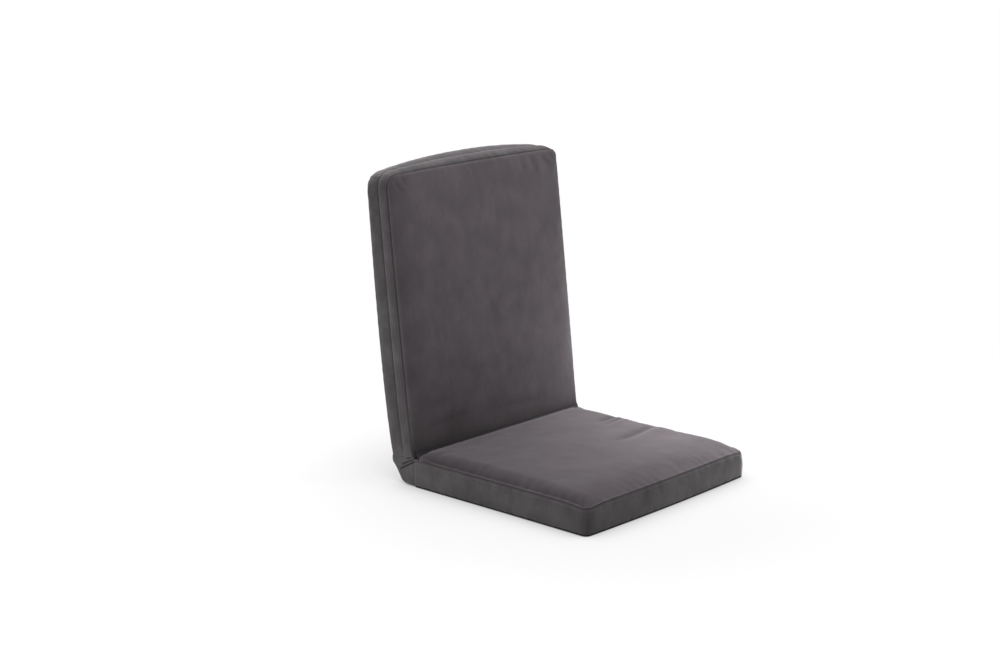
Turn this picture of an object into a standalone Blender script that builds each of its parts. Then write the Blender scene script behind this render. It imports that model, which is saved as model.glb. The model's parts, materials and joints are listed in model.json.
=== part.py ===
"""A legless folding chair that opens flat to a bed pad.

A boxed seat pad lies on the floor, and a taller boxed back pad turns about the crease between them.
Inside, a bent steel tube runs round each pad, and a ratchet hinge on each side joins the two tubes.
Metres, +Z up. The chair faces -Y. The origin is the middle of the seat's underside.
"""

import math
from collections import namedtuple

import bmesh
import bpy
from mathutils import Vector

# Seat pad
WIDTH = 0.500
SEAT_LENGTH = 0.443
SEAT_HEIGHT = 0.055
SEAT_CROWN = 0.010
SEAT_UPPER_FOAM = 0.0205

# Back pad
BACK_LENGTH = 0.571
BACK_DEPTH = 0.064
BACK_FRONT_DEPTH = 0.029
BACK_CROWN = 0.009
REAR_CROWN = 0.004
TOP_ARCH_FRONT = 0.005
TOP_ARCH_REAR = 0.018
RECLINE_DEG = 6.7

# Sewn covers
COVER = 0.0018
BASE_FABRIC = 0.0020
CORNER_RADIUS = 0.016
INNER_CORNER_RADIUS = 0.006
SIDE_DRAW = 0.0015
BOXING_SWELL = 0.002
EDGE_ROLL = 0.110
HINGE_ROLL = 0.110

# Clearances
GAP = 0.0003
END_GAP = 0.001
POCKET_GAP = 0.001

# Hinge axis, measured from the two seam planes that meet at the crease
AXIS_ABOVE_SEAT = 0.005
AXIS_BEHIND_FRONT = 0.004

# Fabric that wraps the hinge behind the seat
WRAP_REACH = 0.033
WRAP_BELOW_BACK = 0.016
WRAP_LIFT = 0.0006
WRAP_KNEE_IN = 0.005
WRAP_TOE_LENGTH = 0.008
WRAP_TOE_RISE = 0.004

# Frame tubes and straps
TUBE_RADIUS = 0.008
CROSS_RADIUS = 0.006
FRAME_END_INSET = 0.042
BEND_RADIUS = 0.045
FRAME_BOW = 0.016
TUBE_START = 0.047
FLAT_TAPER = 0.024
FLAT_HALF_HEIGHT = 0.012
FLAT_SQUARENESS = 2.5
CROSS_TUBE_FROM_HINGE = 0.140
STRAP = 0.0016
STRAP_WIDTH = 0.045
SEAT_STRAPS = 3
BACK_STRAPS = 4

# Ratchet hinges
HINGE_INSET = 0.0245
ARM = 0.003
CHEEK = 0.002
EYE_RADIUS = 0.0065
PIVOT_RADIUS = 0.0025
RIVET_RADIUS = 0.0022
RIVET_HEAD = 0.0016
RIVET_HEAD_SPREAD = 0.0020
RIVET_HEAD_ROUND = 0.0017
RIVET_PITCH = 0.022
RIVET_FROM_END = 0.011
TOOTH_ROOT = 0.0245
TOOTH_TIP = 0.0280
POSITIONS = 7
TOOTH_LAND = 0.45
PAWL_ANGLE_DEG = 4.0
PAWL_LIFT_DEG = 10.5
PAWL_PIN_BACK = 0.0265
PAWL_PIN_UP = 0.024
PAWL_BOSS = 0.0055
PAWL_CLEARANCE = 0.0005
SPRING = 0.0009

# Facets
SIDE_STEPS = 8
CORNER_STEPS = 3
END_STEPS = 10
SWELL_ROWS = 3
HALF_ROUND_STEPS = 6
TUBE_SIDES = 12
RIVET_SIDES = 8
CROWN_SHARES = (0.0, 0.08, 0.22, 0.45, 0.70, 1.0)
SMOOTH_BELOW_DEG = 35.0

# Places that follow from the sizes above
HINGE_Y = SEAT_LENGTH / 2 + END_GAP
HINGE_Z = SEAT_HEIGHT + AXIS_ABOVE_SEAT
FLAT_TRAVEL_DEG = 90.0 - RECLINE_DEG
TOOTH_PITCH = math.radians(FLAT_TRAVEL_DEG / POSITIONS)
FOAM_INSET = COVER + GAP
STRAP_LOOP = TUBE_RADIUS + GAP + STRAP
TUBE_BELOW_SPLIT = GAP + STRAP_LOOP
ARM_X = WIDTH / 2 - HINGE_INSET
CHEEK_X = ARM_X + ARM / 2 + GAP + CHEEK / 2
SEAT_TUBE_X = ARM_X - ARM - GAP
STACK_HALF = CHEEK_X - ARM_X + CHEEK / 2
ARM_HALF = FLAT_HALF_HEIGHT + GAP
CHEEK_REACH = ARM_HALF + SPRING + GAP
FLAT_LENGTH = RIVET_FROM_END + RIVET_PITCH + CHEEK_REACH + POCKET_GAP

Pad = namedtuple("Pad", "length depth crown arch_front arch_rear split frame_x frame_bow axis_z")
SEAT = Pad(
    length=SEAT_LENGTH,
    depth=SEAT_HEIGHT,
    crown=SEAT_CROWN,
    arch_front=0.0,
    arch_rear=0.0,
    split=-COVER - GAP - SEAT_UPPER_FOAM,
    frame_x=SEAT_TUBE_X,
    frame_bow=0.0,
    axis_z=AXIS_ABOVE_SEAT,
)
BACK = Pad(
    length=BACK_LENGTH,
    depth=BACK_DEPTH,
    crown=BACK_CROWN,
    arch_front=TOP_ARCH_FRONT,
    arch_rear=TOP_ARCH_REAR,
    split=-BACK_FRONT_DEPTH,
    frame_x=ARM_X,
    frame_bow=FRAME_BOW,
    axis_z=-AXIS_BEHIND_FRONT,
)


# Scene helpers


def clear_scene():
    for item in list(bpy.data.objects):
        bpy.data.objects.remove(item, do_unlink=True)


def make_material(name, colour, roughness, metallic=0.0):
    material = bpy.data.materials.new(name)
    material.use_nodes = True
    shader = material.node_tree.nodes["Principled BSDF"]
    shader.inputs["Base Color"].default_value = (*colour, 1.0)
    shader.inputs["Roughness"].default_value = roughness
    shader.inputs["Metallic"].default_value = metallic
    return material


def make_empty(name, location, turn_x=0.0, turn_z=0.0, parent=None):
    empty = bpy.data.objects.new(name, None)
    empty.location = location
    empty.rotation_euler = (turn_x, 0.0, turn_z)
    empty.parent = parent
    bpy.context.collection.objects.link(empty)
    return empty


def make_object(name, shape, material, parent, location=(0.0, 0.0, 0.0), turn_x=0.0):
    """Turns a bmesh into a named object, with its faces pointing out and its round sides smooth."""
    bmesh.ops.recalc_face_normals(shape, faces=shape.faces[:])
    mesh = bpy.data.meshes.new(name)
    shape.to_mesh(mesh)
    shape.free()
    mesh.shade_smooth()
    mesh.set_sharp_from_angle(angle=math.radians(SMOOTH_BELOW_DEG))
    item = bpy.data.objects.new(name, mesh)
    item.location = location
    item.rotation_euler = (turn_x, 0.0, 0.0)
    item.parent = parent
    if material:
        mesh.materials.append(material)
    bpy.context.collection.objects.link(item)
    return item


def make_cutter(name, shape, parent, location=(0.0, 0.0, 0.0)):
    cutter = make_object(name, shape, None, parent, location)
    cutter.hide_render = True
    cutter.display_type = "WIRE"
    return cutter


def cut(item, cutters):
    for cutter in cutters:
        modifier = item.modifiers.new(cutter.name, "BOOLEAN")
        modifier.operation = "DIFFERENCE"
        modifier.object = cutter


# Shapes shared by several pieces


def box(low, high):
    shape = bmesh.new()
    bmesh.ops.create_cube(shape, size=1.0)
    for vert in shape.verts:
        vert.co = [a + (b - a) * (c + 0.5) for a, b, c in zip(low, high, vert.co)]
    return shape


def arc(centre, radius, start_deg, end_deg, steps):
    """Points along an arc, both ends included."""
    points = []
    for i in range(steps + 1):
        angle = math.radians(start_deg + (end_deg - start_deg) * i / steps)
        points.append((centre[0] + radius * math.cos(angle), centre[1] + radius * math.sin(angle)))
    return points


def ring_of(centre, radius, steps):
    """A closed ring of points, with a flat and not a corner on each axis."""
    half_step = 180.0 / steps
    return arc(centre, radius, half_step, 360.0 - half_step, steps - 1)


def prism(outlines, place, depth):
    """An outline, with holes after it, extruded along a vector; place turns a flat point into a 3-D one."""
    shape = bmesh.new()
    for outline in outlines:
        verts = [shape.verts.new(place(*point)) for point in outline]
        for a, b in zip(verts, verts[1:] + verts[:1]):
            shape.edges.new((a, b))
    bmesh.ops.triangle_fill(shape, use_beauty=True, edges=shape.edges[:])
    moved = bmesh.ops.extrude_face_region(shape, geom=shape.faces[:])
    verts = [part for part in moved["geom"] if isinstance(part, bmesh.types.BMVert)]
    bmesh.ops.translate(shape, verts=verts, vec=depth)
    return shape


def plate(outlines, middle_x, thickness):
    """A flat plate square to X, outlined in Y and Z."""
    low = middle_x - thickness / 2
    return prism(outlines, lambda y, z: (low, y, z), Vector((thickness, 0.0, 0.0)))


def sweep(path, height, section_at):
    """A bar along a flat path at one height; section_at gives its outline, across and up, at each point."""
    shape = bmesh.new()
    rings = []
    for i, (x, v) in enumerate(path):
        before = path[max(i - 1, 0)]
        after = path[min(i + 1, len(path) - 1)]
        along = Vector((after[0] - before[0], after[1] - before[1])).normalized()
        ring = []
        for across, up in section_at(i):
            ring.append(shape.verts.new((x + along.y * across, v - along.x * across, height + up)))
        rings.append(ring)
    for first, second in zip(rings, rings[1:]):
        bridge(shape, first, second, closed=True)
    shape.faces.new(rings[0])
    shape.faces.new(rings[-1])
    return shape


def bridge(shape, first, second, closed):
    count = len(first) if closed else len(first) - 1
    for i in range(count):
        j = (i + 1) % len(first)
        shape.faces.new((first[i], first[j], second[j], second[i]))


def rivet(low_x, high_x, shank, head_radius, head_height):
    """A round shank along X with a domed head on each end."""
    profile = (
        (low_x - head_height, head_radius - RIVET_HEAD_ROUND),
        (low_x, head_radius),
        (low_x, shank),
        (high_x, shank),
        (high_x, head_radius),
        (high_x + head_height, head_radius - RIVET_HEAD_ROUND),
    )
    shape = bmesh.new()
    rings = []
    for x, radius in profile:
        rings.append([shape.verts.new((x, y, z)) for y, z in ring_of((0.0, 0.0), radius, RIVET_SIDES)])
    for first, second in zip(rings, rings[1:]):
        bridge(shape, first, second, closed=True)
    shape.faces.new(rings[0])
    shape.faces.new(rings[-1])
    return shape


# Pad shapes. In a pad's own frame X runs across it, Y from its hinge end to its free end, and Z out of
# the side that is sat on, with the seam of that side at zero.


def ease_out(distance, reach):
    share = min(max(distance / reach, 0.0), 1.0)
    return 1.0 - (1.0 - share) ** 3


def ease_both(distance, reach):
    share = min(max(distance / reach, 0.0), 1.0)
    return share * share * (3.0 - 2.0 * share)


def half_width(pad, v):
    share = min(max(v / pad.length, 0.0), 1.0)
    return WIDTH / 2 - SIDE_DRAW * math.sin(math.pi * share)


def crown_share(pad, x, v):
    """How far the padding has risen, from 0 at the seams to 1 in the middle."""
    sides = ease_out(half_width(pad, v) - abs(x), EDGE_ROLL)
    return sides * ease_out(pad.length - v, EDGE_ROLL) * ease_both(v, HINGE_ROLL)


def arched(pad, x, v, z):
    """A pad point with the arch of the free end added, which grows from the front seam to the rear one."""
    depth_share = min(max(-z / pad.depth, 0.0), 1.0)
    arch = pad.arch_front + (pad.arch_rear - pad.arch_front) * depth_share
    return (x, v + arch * (1.0 - (2.0 * x / WIDTH) ** 2) * ease_both(v - pad.length / 2, pad.length / 2), z)


def side_path(pad, inset, start):
    """Flat points up one side of a pad, round its free end and down the other side."""
    radius = max(CORNER_RADIUS - inset, INNER_CORNER_RADIUS)
    top = pad.length - inset
    shoulder = top - radius
    right = []
    for i in range(SIDE_STEPS):
        v = start + (shoulder - start) * i / SIDE_STEPS
        right.append((half_width(pad, v) - inset, v))
    corner_x = half_width(pad, shoulder) - inset - radius
    right += arc((corner_x, shoulder), radius, 0.0, 90.0, CORNER_STEPS)
    end = [(corner_x * (1.0 - 2.0 * i / END_STEPS), top) for i in range(1, END_STEPS)]
    return right + end + [(-x, v) for x, v in reversed(right)]


def closed_path(pad, inset):
    path = side_path(pad, inset, inset)
    x = path[0][0]
    return path + [(x * (2.0 * i / END_STEPS - 1.0), inset) for i in range(1, END_STEPS)]


def pad_face(shape, pad, inset, z, crown):
    """One face of a pad layer, level or crowned, and its outer ring of points."""
    shares = CROWN_SHARES if crown else (0.0,)
    rings = []
    for share in shares:
        ring = []
        for x, v in closed_path(pad, inset + share * max(EDGE_ROLL, HINGE_ROLL)):
            height = z + crown * crown_share(pad, x, v)
            ring.append(shape.verts.new(arched(pad, x, v, height)))
        rings.append(ring)
    for first, second in zip(rings, rings[1:]):
        bridge(shape, first, second, closed=True)
    shape.faces.new(rings[-1])
    return rings[0]


def layer(pad, inset, top, top_crown, bottom, bottom_crown):
    """A layer of a pad between two faces."""
    shape = bmesh.new()
    upper = pad_face(shape, pad, inset, top, top_crown)
    lower = pad_face(shape, pad, inset, bottom, bottom_crown)
    bridge(shape, upper, lower, closed=True)
    bmesh.ops.triangulate(shape, faces=shape.faces[:])
    return shape


def boxing(pad, top, bottom):
    """A sewn strip round the sides and the free end of a pad, swollen a little between its seams."""
    shape = bmesh.new()
    walls = ([], [])
    for row in range(SWELL_ROWS + 1):
        share = row / SWELL_ROWS
        z = top + (bottom - top) * share
        swell = BOXING_SWELL * 4.0 * share * (1.0 - share)
        for wall, inset in zip(walls, (-swell, COVER - swell)):
            wall.append([shape.verts.new(arched(pad, x, v, z)) for x, v in side_path(pad, inset, 0.0)])
    outer, inner = walls
    for wall in walls:
        for first, second in zip(wall, wall[1:]):
            bridge(shape, first, second, closed=False)
    bridge(shape, outer[0], inner[0], closed=False)
    bridge(shape, outer[-1], inner[-1], closed=False)
    for end in (0, -1):
        bridge(shape, [row[end] for row in outer], [row[end] for row in inner], closed=False)
    return shape


# Frame inside a pad


def tube_height(pad):
    return pad.split - TUBE_BELOW_SPLIT


def bend_start(pad):
    return pad.length - FRAME_END_INSET - BEND_RADIUS


def tube_path(pad):
    """The tube's middle line, from one flattened end round the free end of the pad to the other."""
    right = []
    for v in (TUBE_START, TUBE_START + FLAT_LENGTH, TUBE_START + FLAT_LENGTH + FLAT_TAPER):
        right.append((pad.frame_x, v))
    corner = (pad.frame_x - BEND_RADIUS, bend_start(pad))
    right += arc(corner, BEND_RADIUS, 0.0, 90.0, 2 * CORNER_STEPS)
    top = [(corner[0] * (1.0 - 2.0 * i / END_STEPS), right[-1][1]) for i in range(1, END_STEPS)]
    path = right + top + [(-x, v) for x, v in reversed(right)]
    return [(x, v + pad.frame_bow * (1.0 - (x / pad.frame_x) ** 2)) for x, v in path]


def round_section(radius):
    return ring_of((0.0, 0.0), radius, TUBE_SIDES)


def flat_section():
    """A tube's section after its end is pressed flat, as thick as a hinge arm."""
    points = []
    for across, up in round_section(1.0):
        points.append((ARM / 2 * max(-1.0, min(1.0, FLAT_SQUARENESS * across)), FLAT_HALF_HEIGHT * up))
    return points


def frame_tube(pad):
    path = tube_path(pad)
    flat_rings = (0, 1, len(path) - 2, len(path) - 1)
    sections = {i: flat_section() for i in flat_rings}
    return sweep(path, tube_height(pad), lambda i: sections.get(i) or round_section(TUBE_RADIUS))


def tube_channel(pad):
    """The space that a layer of foam leaves for the frame tube and the strap loops on it."""
    half = STRAP_LOOP + GAP
    top = TUBE_BELOW_SPLIT + GAP
    section = [(half, -half), (half, top), (-half, top), (-half, -half)]
    return sweep(tube_path(pad), tube_height(pad), lambda i: section)


def cross_tube(pad):
    half = pad.frame_x - TUBE_RADIUS - GAP
    path = [(half, CROSS_TUBE_FROM_HINGE), (-half, CROSS_TUBE_FROM_HINGE)]
    return sweep(path, tube_height(pad), lambda i: round_section(CROSS_RADIUS))


def strap(pad, v):
    """An elastic strap stretched between the frame's two sides, with each end looped under its tube."""
    z = tube_height(pad)
    loops = []
    for radius in (STRAP_LOOP, STRAP_LOOP - STRAP):
        right = arc((pad.frame_x, z), radius, -90.0, 90.0, HALF_ROUND_STEPS)
        left = arc((-pad.frame_x, z), radius, 90.0, 270.0, HALF_ROUND_STEPS)
        loops.append(right + left)
    outline = loops[0] + loops[1][::-1]
    low = v - STRAP_WIDTH / 2
    return prism([outline], lambda x, up: (x, low, up), Vector((0.0, STRAP_WIDTH, 0.0)))


def strap_places(pad, count):
    span = bend_start(pad) - CROSS_TUBE_FROM_HINGE
    return [CROSS_TUBE_FROM_HINGE + span * (i + 0.5) / count for i in range(count)]


def foam_cutters(pad, prefix, frame):
    """Cutters for one pad: the tube's channel, the cross tube's slot and the pockets for the hinges."""
    z = tube_height(pad)
    slot = CROSS_RADIUS + GAP
    cutters = [
        make_cutter(prefix + "_channel_cutter", tube_channel(pad), frame),
        make_cutter(
            prefix + "_cross_cutter",
            box(
                (-pad.frame_x, CROSS_TUBE_FROM_HINGE - slot, z - slot),
                (pad.frame_x, CROSS_TUBE_FROM_HINGE + slot, z + TUBE_BELOW_SPLIT + GAP),
            ),
            frame,
        ),
    ]
    inner = SEAT_TUBE_X - ARM / 2 - RIVET_HEAD - GAP - POCKET_GAP
    outer = ARM_X + STACK_HALF + RIVET_HEAD + GAP + POCKET_GAP
    arm_end = TUBE_START + RIVET_FROM_END + RIVET_PITCH
    tube_end = TUBE_START + FLAT_LENGTH + FLAT_TAPER
    deep_half = CHEEK_REACH + POCKET_GAP
    pockets = []
    for side, name in ((-1, "left"), (1, "right")):
        low_x, high_x = sorted((side * inner, side * outer))
        tall = box((low_x, -pad.depth, -2 * pad.depth), (high_x, arm_end, pad.depth))
        deep = box((low_x, -pad.depth, z - deep_half), (high_x, tube_end, z + deep_half))
        pockets.append(make_cutter(f"{prefix}_{name}_hinge_cutter", tall, frame))
        pockets.append(make_cutter(f"{prefix}_{name}_tube_end_cutter", deep, frame))
    return cutters, pockets


def eye_cutters(pad, prefix, frame):
    """Cutters for the notches that let the hinge eyes turn at the hinge end of a panel."""
    half = STACK_HALF + RIVET_HEAD + GAP + POCKET_GAP
    notch = EYE_RADIUS + POCKET_GAP
    cutters = []
    for side, name in ((-1, "left"), (1, "right")):
        low = (side * ARM_X - half, -notch, -pad.depth / 2)
        high = (side * ARM_X + half, notch, pad.depth / 2)
        cutters.append(make_cutter(f"{prefix}_{name}_eye_cutter", box(low, high), frame))
    return cutters


# Hinge plates. Seat plates are outlined in Y and Z from the axis, back plates in the back's own
# rearward and upward directions from the axis.


def rivet_places():
    first = TUBE_START + RIVET_FROM_END + END_GAP
    return (first, first + RIVET_PITCH)


def polar(radius, angle):
    return (radius * math.cos(angle), radius * math.sin(angle))


def tooth_line(start, end):
    """Ratchet teeth from one angle to the other: each rises slowly, then drops square to its root."""
    rest = math.radians(PAWL_ANGLE_DEG - RECLINE_DEG)
    points = [polar(TOOTH_ROOT, start)]
    for k in range(POSITIONS, -1, -1):
        angle = rest - k * TOOTH_PITCH
        points += [polar(TOOTH_TIP, angle), polar(TOOTH_ROOT, angle)]
    return points + [polar(TOOTH_ROOT, end)]


def seat_arm_outline():
    """A cranked arm: a toothed quadrant and an eye on the axis, a drop, and a foot along the seat tube."""
    rest = math.radians(PAWL_ANGLE_DEG - RECLINE_DEG)
    start = rest - (POSITIONS + TOOTH_LAND) * TOOTH_PITCH
    end = rest + TOOTH_LAND * TOOTH_PITCH
    foot_z = tube_height(SEAT) - SEAT.axis_z
    foot_end = -rivet_places()[1]
    eye = arc((0.0, 0.0), EYE_RADIUS, math.degrees(end), 180.0, HALF_ROUND_STEPS)
    drop = [(-EYE_RADIUS, foot_z + ARM_HALF)]
    foot = arc((foot_end, foot_z), ARM_HALF, 90.0, 270.0, HALF_ROUND_STEPS)
    heel = [(-TOOTH_ROOT, foot_z - ARM_HALF)]
    return tooth_line(start, end) + eye + drop + foot + heel


def cheek_outline():
    """A cranked plate: an eye on the axis, the pawl's boss, and a foot along the back tube."""
    tube_n = -(tube_height(BACK) - BACK.axis_z)
    boss = PAWL_BOSS + POCKET_GAP
    pin = (PAWL_PIN_BACK, PAWL_PIN_UP)
    square = math.degrees(math.atan2(PAWL_PIN_UP, PAWL_PIN_BACK)) + 90.0
    first, second = rivet_places()
    eye = arc((0.0, 0.0), EYE_RADIUS, square, square + 180.0, HALF_ROUND_STEPS)
    under_boss = arc(pin, boss, square + 180.0, 360.0, CORNER_STEPS)
    heel = [(tube_n + CHEEK_REACH, TUBE_START)]
    foot = arc((tube_n, second), CHEEK_REACH, 0.0, 180.0, HALF_ROUND_STEPS)
    toe = [(tube_n - CHEEK_REACH, first)] + arc(pin, boss, square, square, 1)[:1]
    return eye + under_boss + heel + foot + toe


def pawl_outline():
    """The pawl in its tooth, about its own pin: a toe that bears on the tooth's face, and a round boss.

    Its inner edge is cut back along the slope of the next tooth, which it has to clear when it is in.
    """
    angle = math.radians(PAWL_ANGLE_DEG)
    slack = PAWL_CLEARANCE / TOOTH_ROOT
    rise = (TOOTH_TIP - TOOTH_ROOT) / TOOTH_PITCH
    toe = polar(TOOTH_ROOT + PAWL_CLEARANCE + rise * slack, angle + slack)
    face = polar(TOOTH_TIP + 2 * PAWL_CLEARANCE, angle + slack)
    slope = polar(TOOTH_TIP + PAWL_CLEARANCE, angle + TOOTH_PITCH)
    boss = arc((0.0, 0.0), PAWL_BOSS, 0.0, 180.0, HALF_ROUND_STEPS)
    tip = [(y - PAWL_PIN_BACK, z - PAWL_PIN_UP) for y, z in (slope, toe, face)]
    return tip + boss


def spring_outline():
    """A leaf spring: clamped along the tube's flattened end, then bent in to the back of the pawl."""
    tube_n = -(tube_height(BACK) - BACK.axis_z)
    seat_n = tube_n + ARM_HALF
    tube_end = TUBE_START + END_GAP - GAP
    toe_n = PAWL_PIN_BACK + PAWL_BOSS + GAP
    toe_u = PAWL_PIN_UP - PAWL_BOSS
    bend = (toe_n + 2 * SPRING, PAWL_PIN_UP + PAWL_BOSS)
    inner = [(seat_n, rivet_places()[1]), (seat_n, tube_end), bend, (toe_n, toe_u)]
    return inner + [(n + SPRING, u) for n, u in reversed(inner)]


def rivet_holes(y_sign, z, radius):
    holes = []
    for along in rivet_places():
        centre = (-along, z) if y_sign < 0 else (z, along)
        holes.append(ring_of(centre, radius, RIVET_SIDES))
    return holes


def build_hinge(side, name, axis, pivot, steel, zinc):
    """One ratchet hinge, on the side that the sign gives."""
    arm_x = side * ARM_X
    foot_z = tube_height(SEAT) - SEAT.axis_z
    tube_n = -(tube_height(BACK) - BACK.axis_z)
    hole = RIVET_RADIUS + GAP
    pivot_hole = ring_of((0.0, 0.0), PIVOT_RADIUS + GAP, TUBE_SIDES)
    pin_hole = ring_of((PAWL_PIN_BACK, PAWL_PIN_UP), hole, RIVET_SIDES)

    seat_holes = [pivot_hole] + rivet_holes(-1, foot_z, hole)
    seat_arm = plate([seat_arm_outline()] + seat_holes, arm_x, ARM)
    make_object(f"hinge_{name}_seat_arm", seat_arm, zinc, axis)

    back_holes = [pivot_hole, pin_hole] + rivet_holes(1, tube_n, hole)
    for place, x in (("inner", 2 * ARM_X - CHEEK_X), ("outer", CHEEK_X)):
        cheek = plate([cheek_outline()] + back_holes, side * x, CHEEK)
        make_object(f"hinge_{name}_{place}_cheek", cheek, zinc, pivot)

    pawl_hole = ring_of((0.0, 0.0), hole, RIVET_SIDES)
    pawl = plate([pawl_outline(), pawl_hole], arm_x, ARM)
    pin = (0.0, PAWL_PIN_BACK, PAWL_PIN_UP)
    make_object(f"hinge_{name}_pawl", pawl, steel, pivot, pin, math.radians(PAWL_LIFT_DEG))
    spring = plate([spring_outline()], arm_x, ARM - 2 * GAP)
    make_object(f"hinge_{name}_pawl_spring", spring, steel, pivot)

    low, high = arm_x - STACK_HALF - GAP, arm_x + STACK_HALF + GAP
    head = RIVET_RADIUS + RIVET_HEAD_SPREAD
    pin_rivet = rivet(low, high, RIVET_RADIUS, head, RIVET_HEAD)
    make_object(f"hinge_{name}_pawl_pin", pin_rivet, steel, pivot, pin)
    pivot_rivet = rivet(low, high, PIVOT_RADIUS, PIVOT_RADIUS + RIVET_HEAD_SPREAD, RIVET_HEAD)
    make_object(f"hinge_{name}_pivot_rivet", pivot_rivet, steel, pivot)

    faces = (side * (SEAT_TUBE_X - ARM / 2 - GAP), side * (ARM_X + ARM / 2 + GAP))
    for number, along in enumerate(rivet_places(), start=1):
        seat_rivet = rivet(min(faces), max(faces), RIVET_RADIUS, head, RIVET_HEAD)
        make_object(f"hinge_{name}_seat_rivet_{number}", seat_rivet, steel, axis, (0.0, -along, foot_z))
        back_rivet = rivet(low, high, RIVET_RADIUS, head, RIVET_HEAD)
        make_object(f"hinge_{name}_back_rivet_{number}", back_rivet, steel, pivot, (0.0, tube_n, along))


def rivet_cutters(pad, prefix, frame):
    """Cutters for the rivet holes through a tube's flattened ends."""
    cutters = []
    for side, name in ((-1, "left"), (1, "right")):
        for number, along in enumerate(rivet_places(), start=1):
            ring = ring_of((0.0, 0.0), RIVET_RADIUS + GAP, RIVET_SIDES)
            pin = plate([ring], side * pad.frame_x, 4 * ARM)
            place = (0.0, along - END_GAP, tube_height(pad))
            cutters.append(make_cutter(f"{prefix}_{name}_rivet_{number}_cutter", pin, frame, place))
    return cutters


# Fabric at the hinge, outlined in Y and Z from the axis


def back_point(n, u):
    """A point given along the back's rearward and upward directions, in Y and Z from the axis."""
    lean = math.radians(RECLINE_DEG)
    return (n * math.cos(lean) + u * math.sin(lean), u * math.cos(lean) - n * math.sin(lean))


def wrap_outline():
    """The outside of the fabric behind the hinge: along the floor, then up to the back's rear seam."""
    floor = WRAP_LIFT - HINGE_Z
    top = back_point(BACK_DEPTH - AXIS_BEHIND_FRONT, END_GAP / 2)
    knee = (top[0] - WRAP_KNEE_IN, top[1] - WRAP_BELOW_BACK)
    toe = [(WRAP_REACH - WRAP_TOE_LENGTH, floor), (WRAP_REACH, floor + WRAP_TOE_RISE)]
    return [(-END_GAP / 2, floor)] + toe + [knee, top]


def inside_of(outline, distance):
    """The same line moved to its left by a distance."""
    moved = []
    for i, point in enumerate(outline):
        before = Vector(outline[max(i - 1, 0)])
        after = Vector(outline[min(i + 1, len(outline) - 1)])
        along = (after - before).normalized()
        moved.append((point[0] - along.y * distance, point[1] + along.x * distance))
    return moved


def build_hinge_cover(axis, velvet):
    outer = wrap_outline()
    inner = inside_of(outer, COVER)
    wrap_width = WIDTH - 2 * COVER - 2 * GAP
    make_object("hinge_cover", plate([outer + inner[::-1]], 0.0, wrap_width), velvet, axis)
    corner = back_point(0.0, END_GAP / 2)
    for side, name in ((-1, "left"), (1, "right")):
        gusset = plate([outer + [(-END_GAP / 2, corner[1])]], side * (WIDTH - COVER) / 2, COVER)
        make_object(f"hinge_gusset_{name}", gusset, velvet, axis)
    seam = GAP - AXIS_ABOVE_SEAT
    front = -AXIS_BEHIND_FRONT
    top = [back_point(front + COVER, END_GAP / 2), back_point(front, END_GAP / 2)]
    crease = [(front - END_GAP, seam), (front - END_GAP + COVER, seam)] + top
    half = ARM_X - STACK_HALF - RIVET_HEAD - GAP - 2 * POCKET_GAP
    make_object("crease_strip", plate([crease], 0.0, 2 * half), velvet, axis)


# The two pads


def build_pad_inside(pad, prefix, frame, straps, foam, steel, webbing, upper_name, lower_name, rear):
    """The foam, tube, cross tube and straps of one pad."""
    channel, pockets = foam_cutters(pad, prefix, frame)
    upper = layer(pad, FOAM_INSET, -FOAM_INSET, pad.crown, pad.split + GAP, 0.0)
    cut(make_object(upper_name, upper, foam, frame), pockets)
    lower_top = tube_height(pad) + TUBE_RADIUS
    lower = layer(pad, FOAM_INSET, lower_top, 0.0, rear[0], rear[1])
    cut(make_object(lower_name, lower, foam, frame), channel + pockets)
    tube = make_object(f"{prefix}_frame_tube", frame_tube(pad), steel, frame)
    cut(tube, rivet_cutters(pad, prefix, frame))
    make_object(f"{prefix}_cross_tube", cross_tube(pad), steel, frame)
    for number, v in enumerate(strap_places(pad, straps), start=1):
        make_object(f"{prefix}_strap_{number}", strap(pad, v), webbing, frame)


def build_seat(frame, velvet, foam, steel, webbing, base_fabric):
    floor = -SEAT_HEIGHT
    inside = (floor + BASE_FABRIC + GAP, 0.0)
    build_pad_inside(
        SEAT, "seat", frame, SEAT_STRAPS, foam, steel, webbing, "seat_upper_foam", "seat_lower_foam", inside
    )
    top = layer(SEAT, 0.0, 0.0, SEAT_CROWN, -COVER, SEAT_CROWN)
    cut(make_object("seat_top_panel", top, velvet, frame), eye_cutters(SEAT, "seat", frame))
    strip = boxing(SEAT, -FOAM_INSET, floor + BASE_FABRIC + GAP)
    make_object("seat_boxing", strip, velvet, frame)
    base = layer(SEAT, 0.0, floor + BASE_FABRIC, 0.0, floor, 0.0)
    make_object("seat_base_panel", base, base_fabric, frame)


def build_back(frame, velvet, foam, steel, webbing):
    rear = -BACK_DEPTH
    inside = (rear + FOAM_INSET, -REAR_CROWN)
    build_pad_inside(
        BACK, "back", frame, BACK_STRAPS, foam, steel, webbing, "back_front_foam", "back_rear_foam", inside
    )
    front = layer(BACK, 0.0, 0.0, BACK_CROWN, -COVER, BACK_CROWN)
    cut(make_object("back_front_panel", front, velvet, frame), eye_cutters(BACK, "back", frame))
    narrow = boxing(BACK, -FOAM_INSET, GAP / 2 - BACK_FRONT_DEPTH)
    make_object("back_front_boxing", narrow, velvet, frame)
    wide = boxing(BACK, -GAP / 2 - BACK_FRONT_DEPTH, rear + FOAM_INSET)
    make_object("back_rear_boxing", wide, velvet, frame)
    panel = layer(BACK, 0.0, rear + COVER, -REAR_CROWN, rear, -REAR_CROWN)
    make_object("back_rear_panel", panel, velvet, frame)


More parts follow.
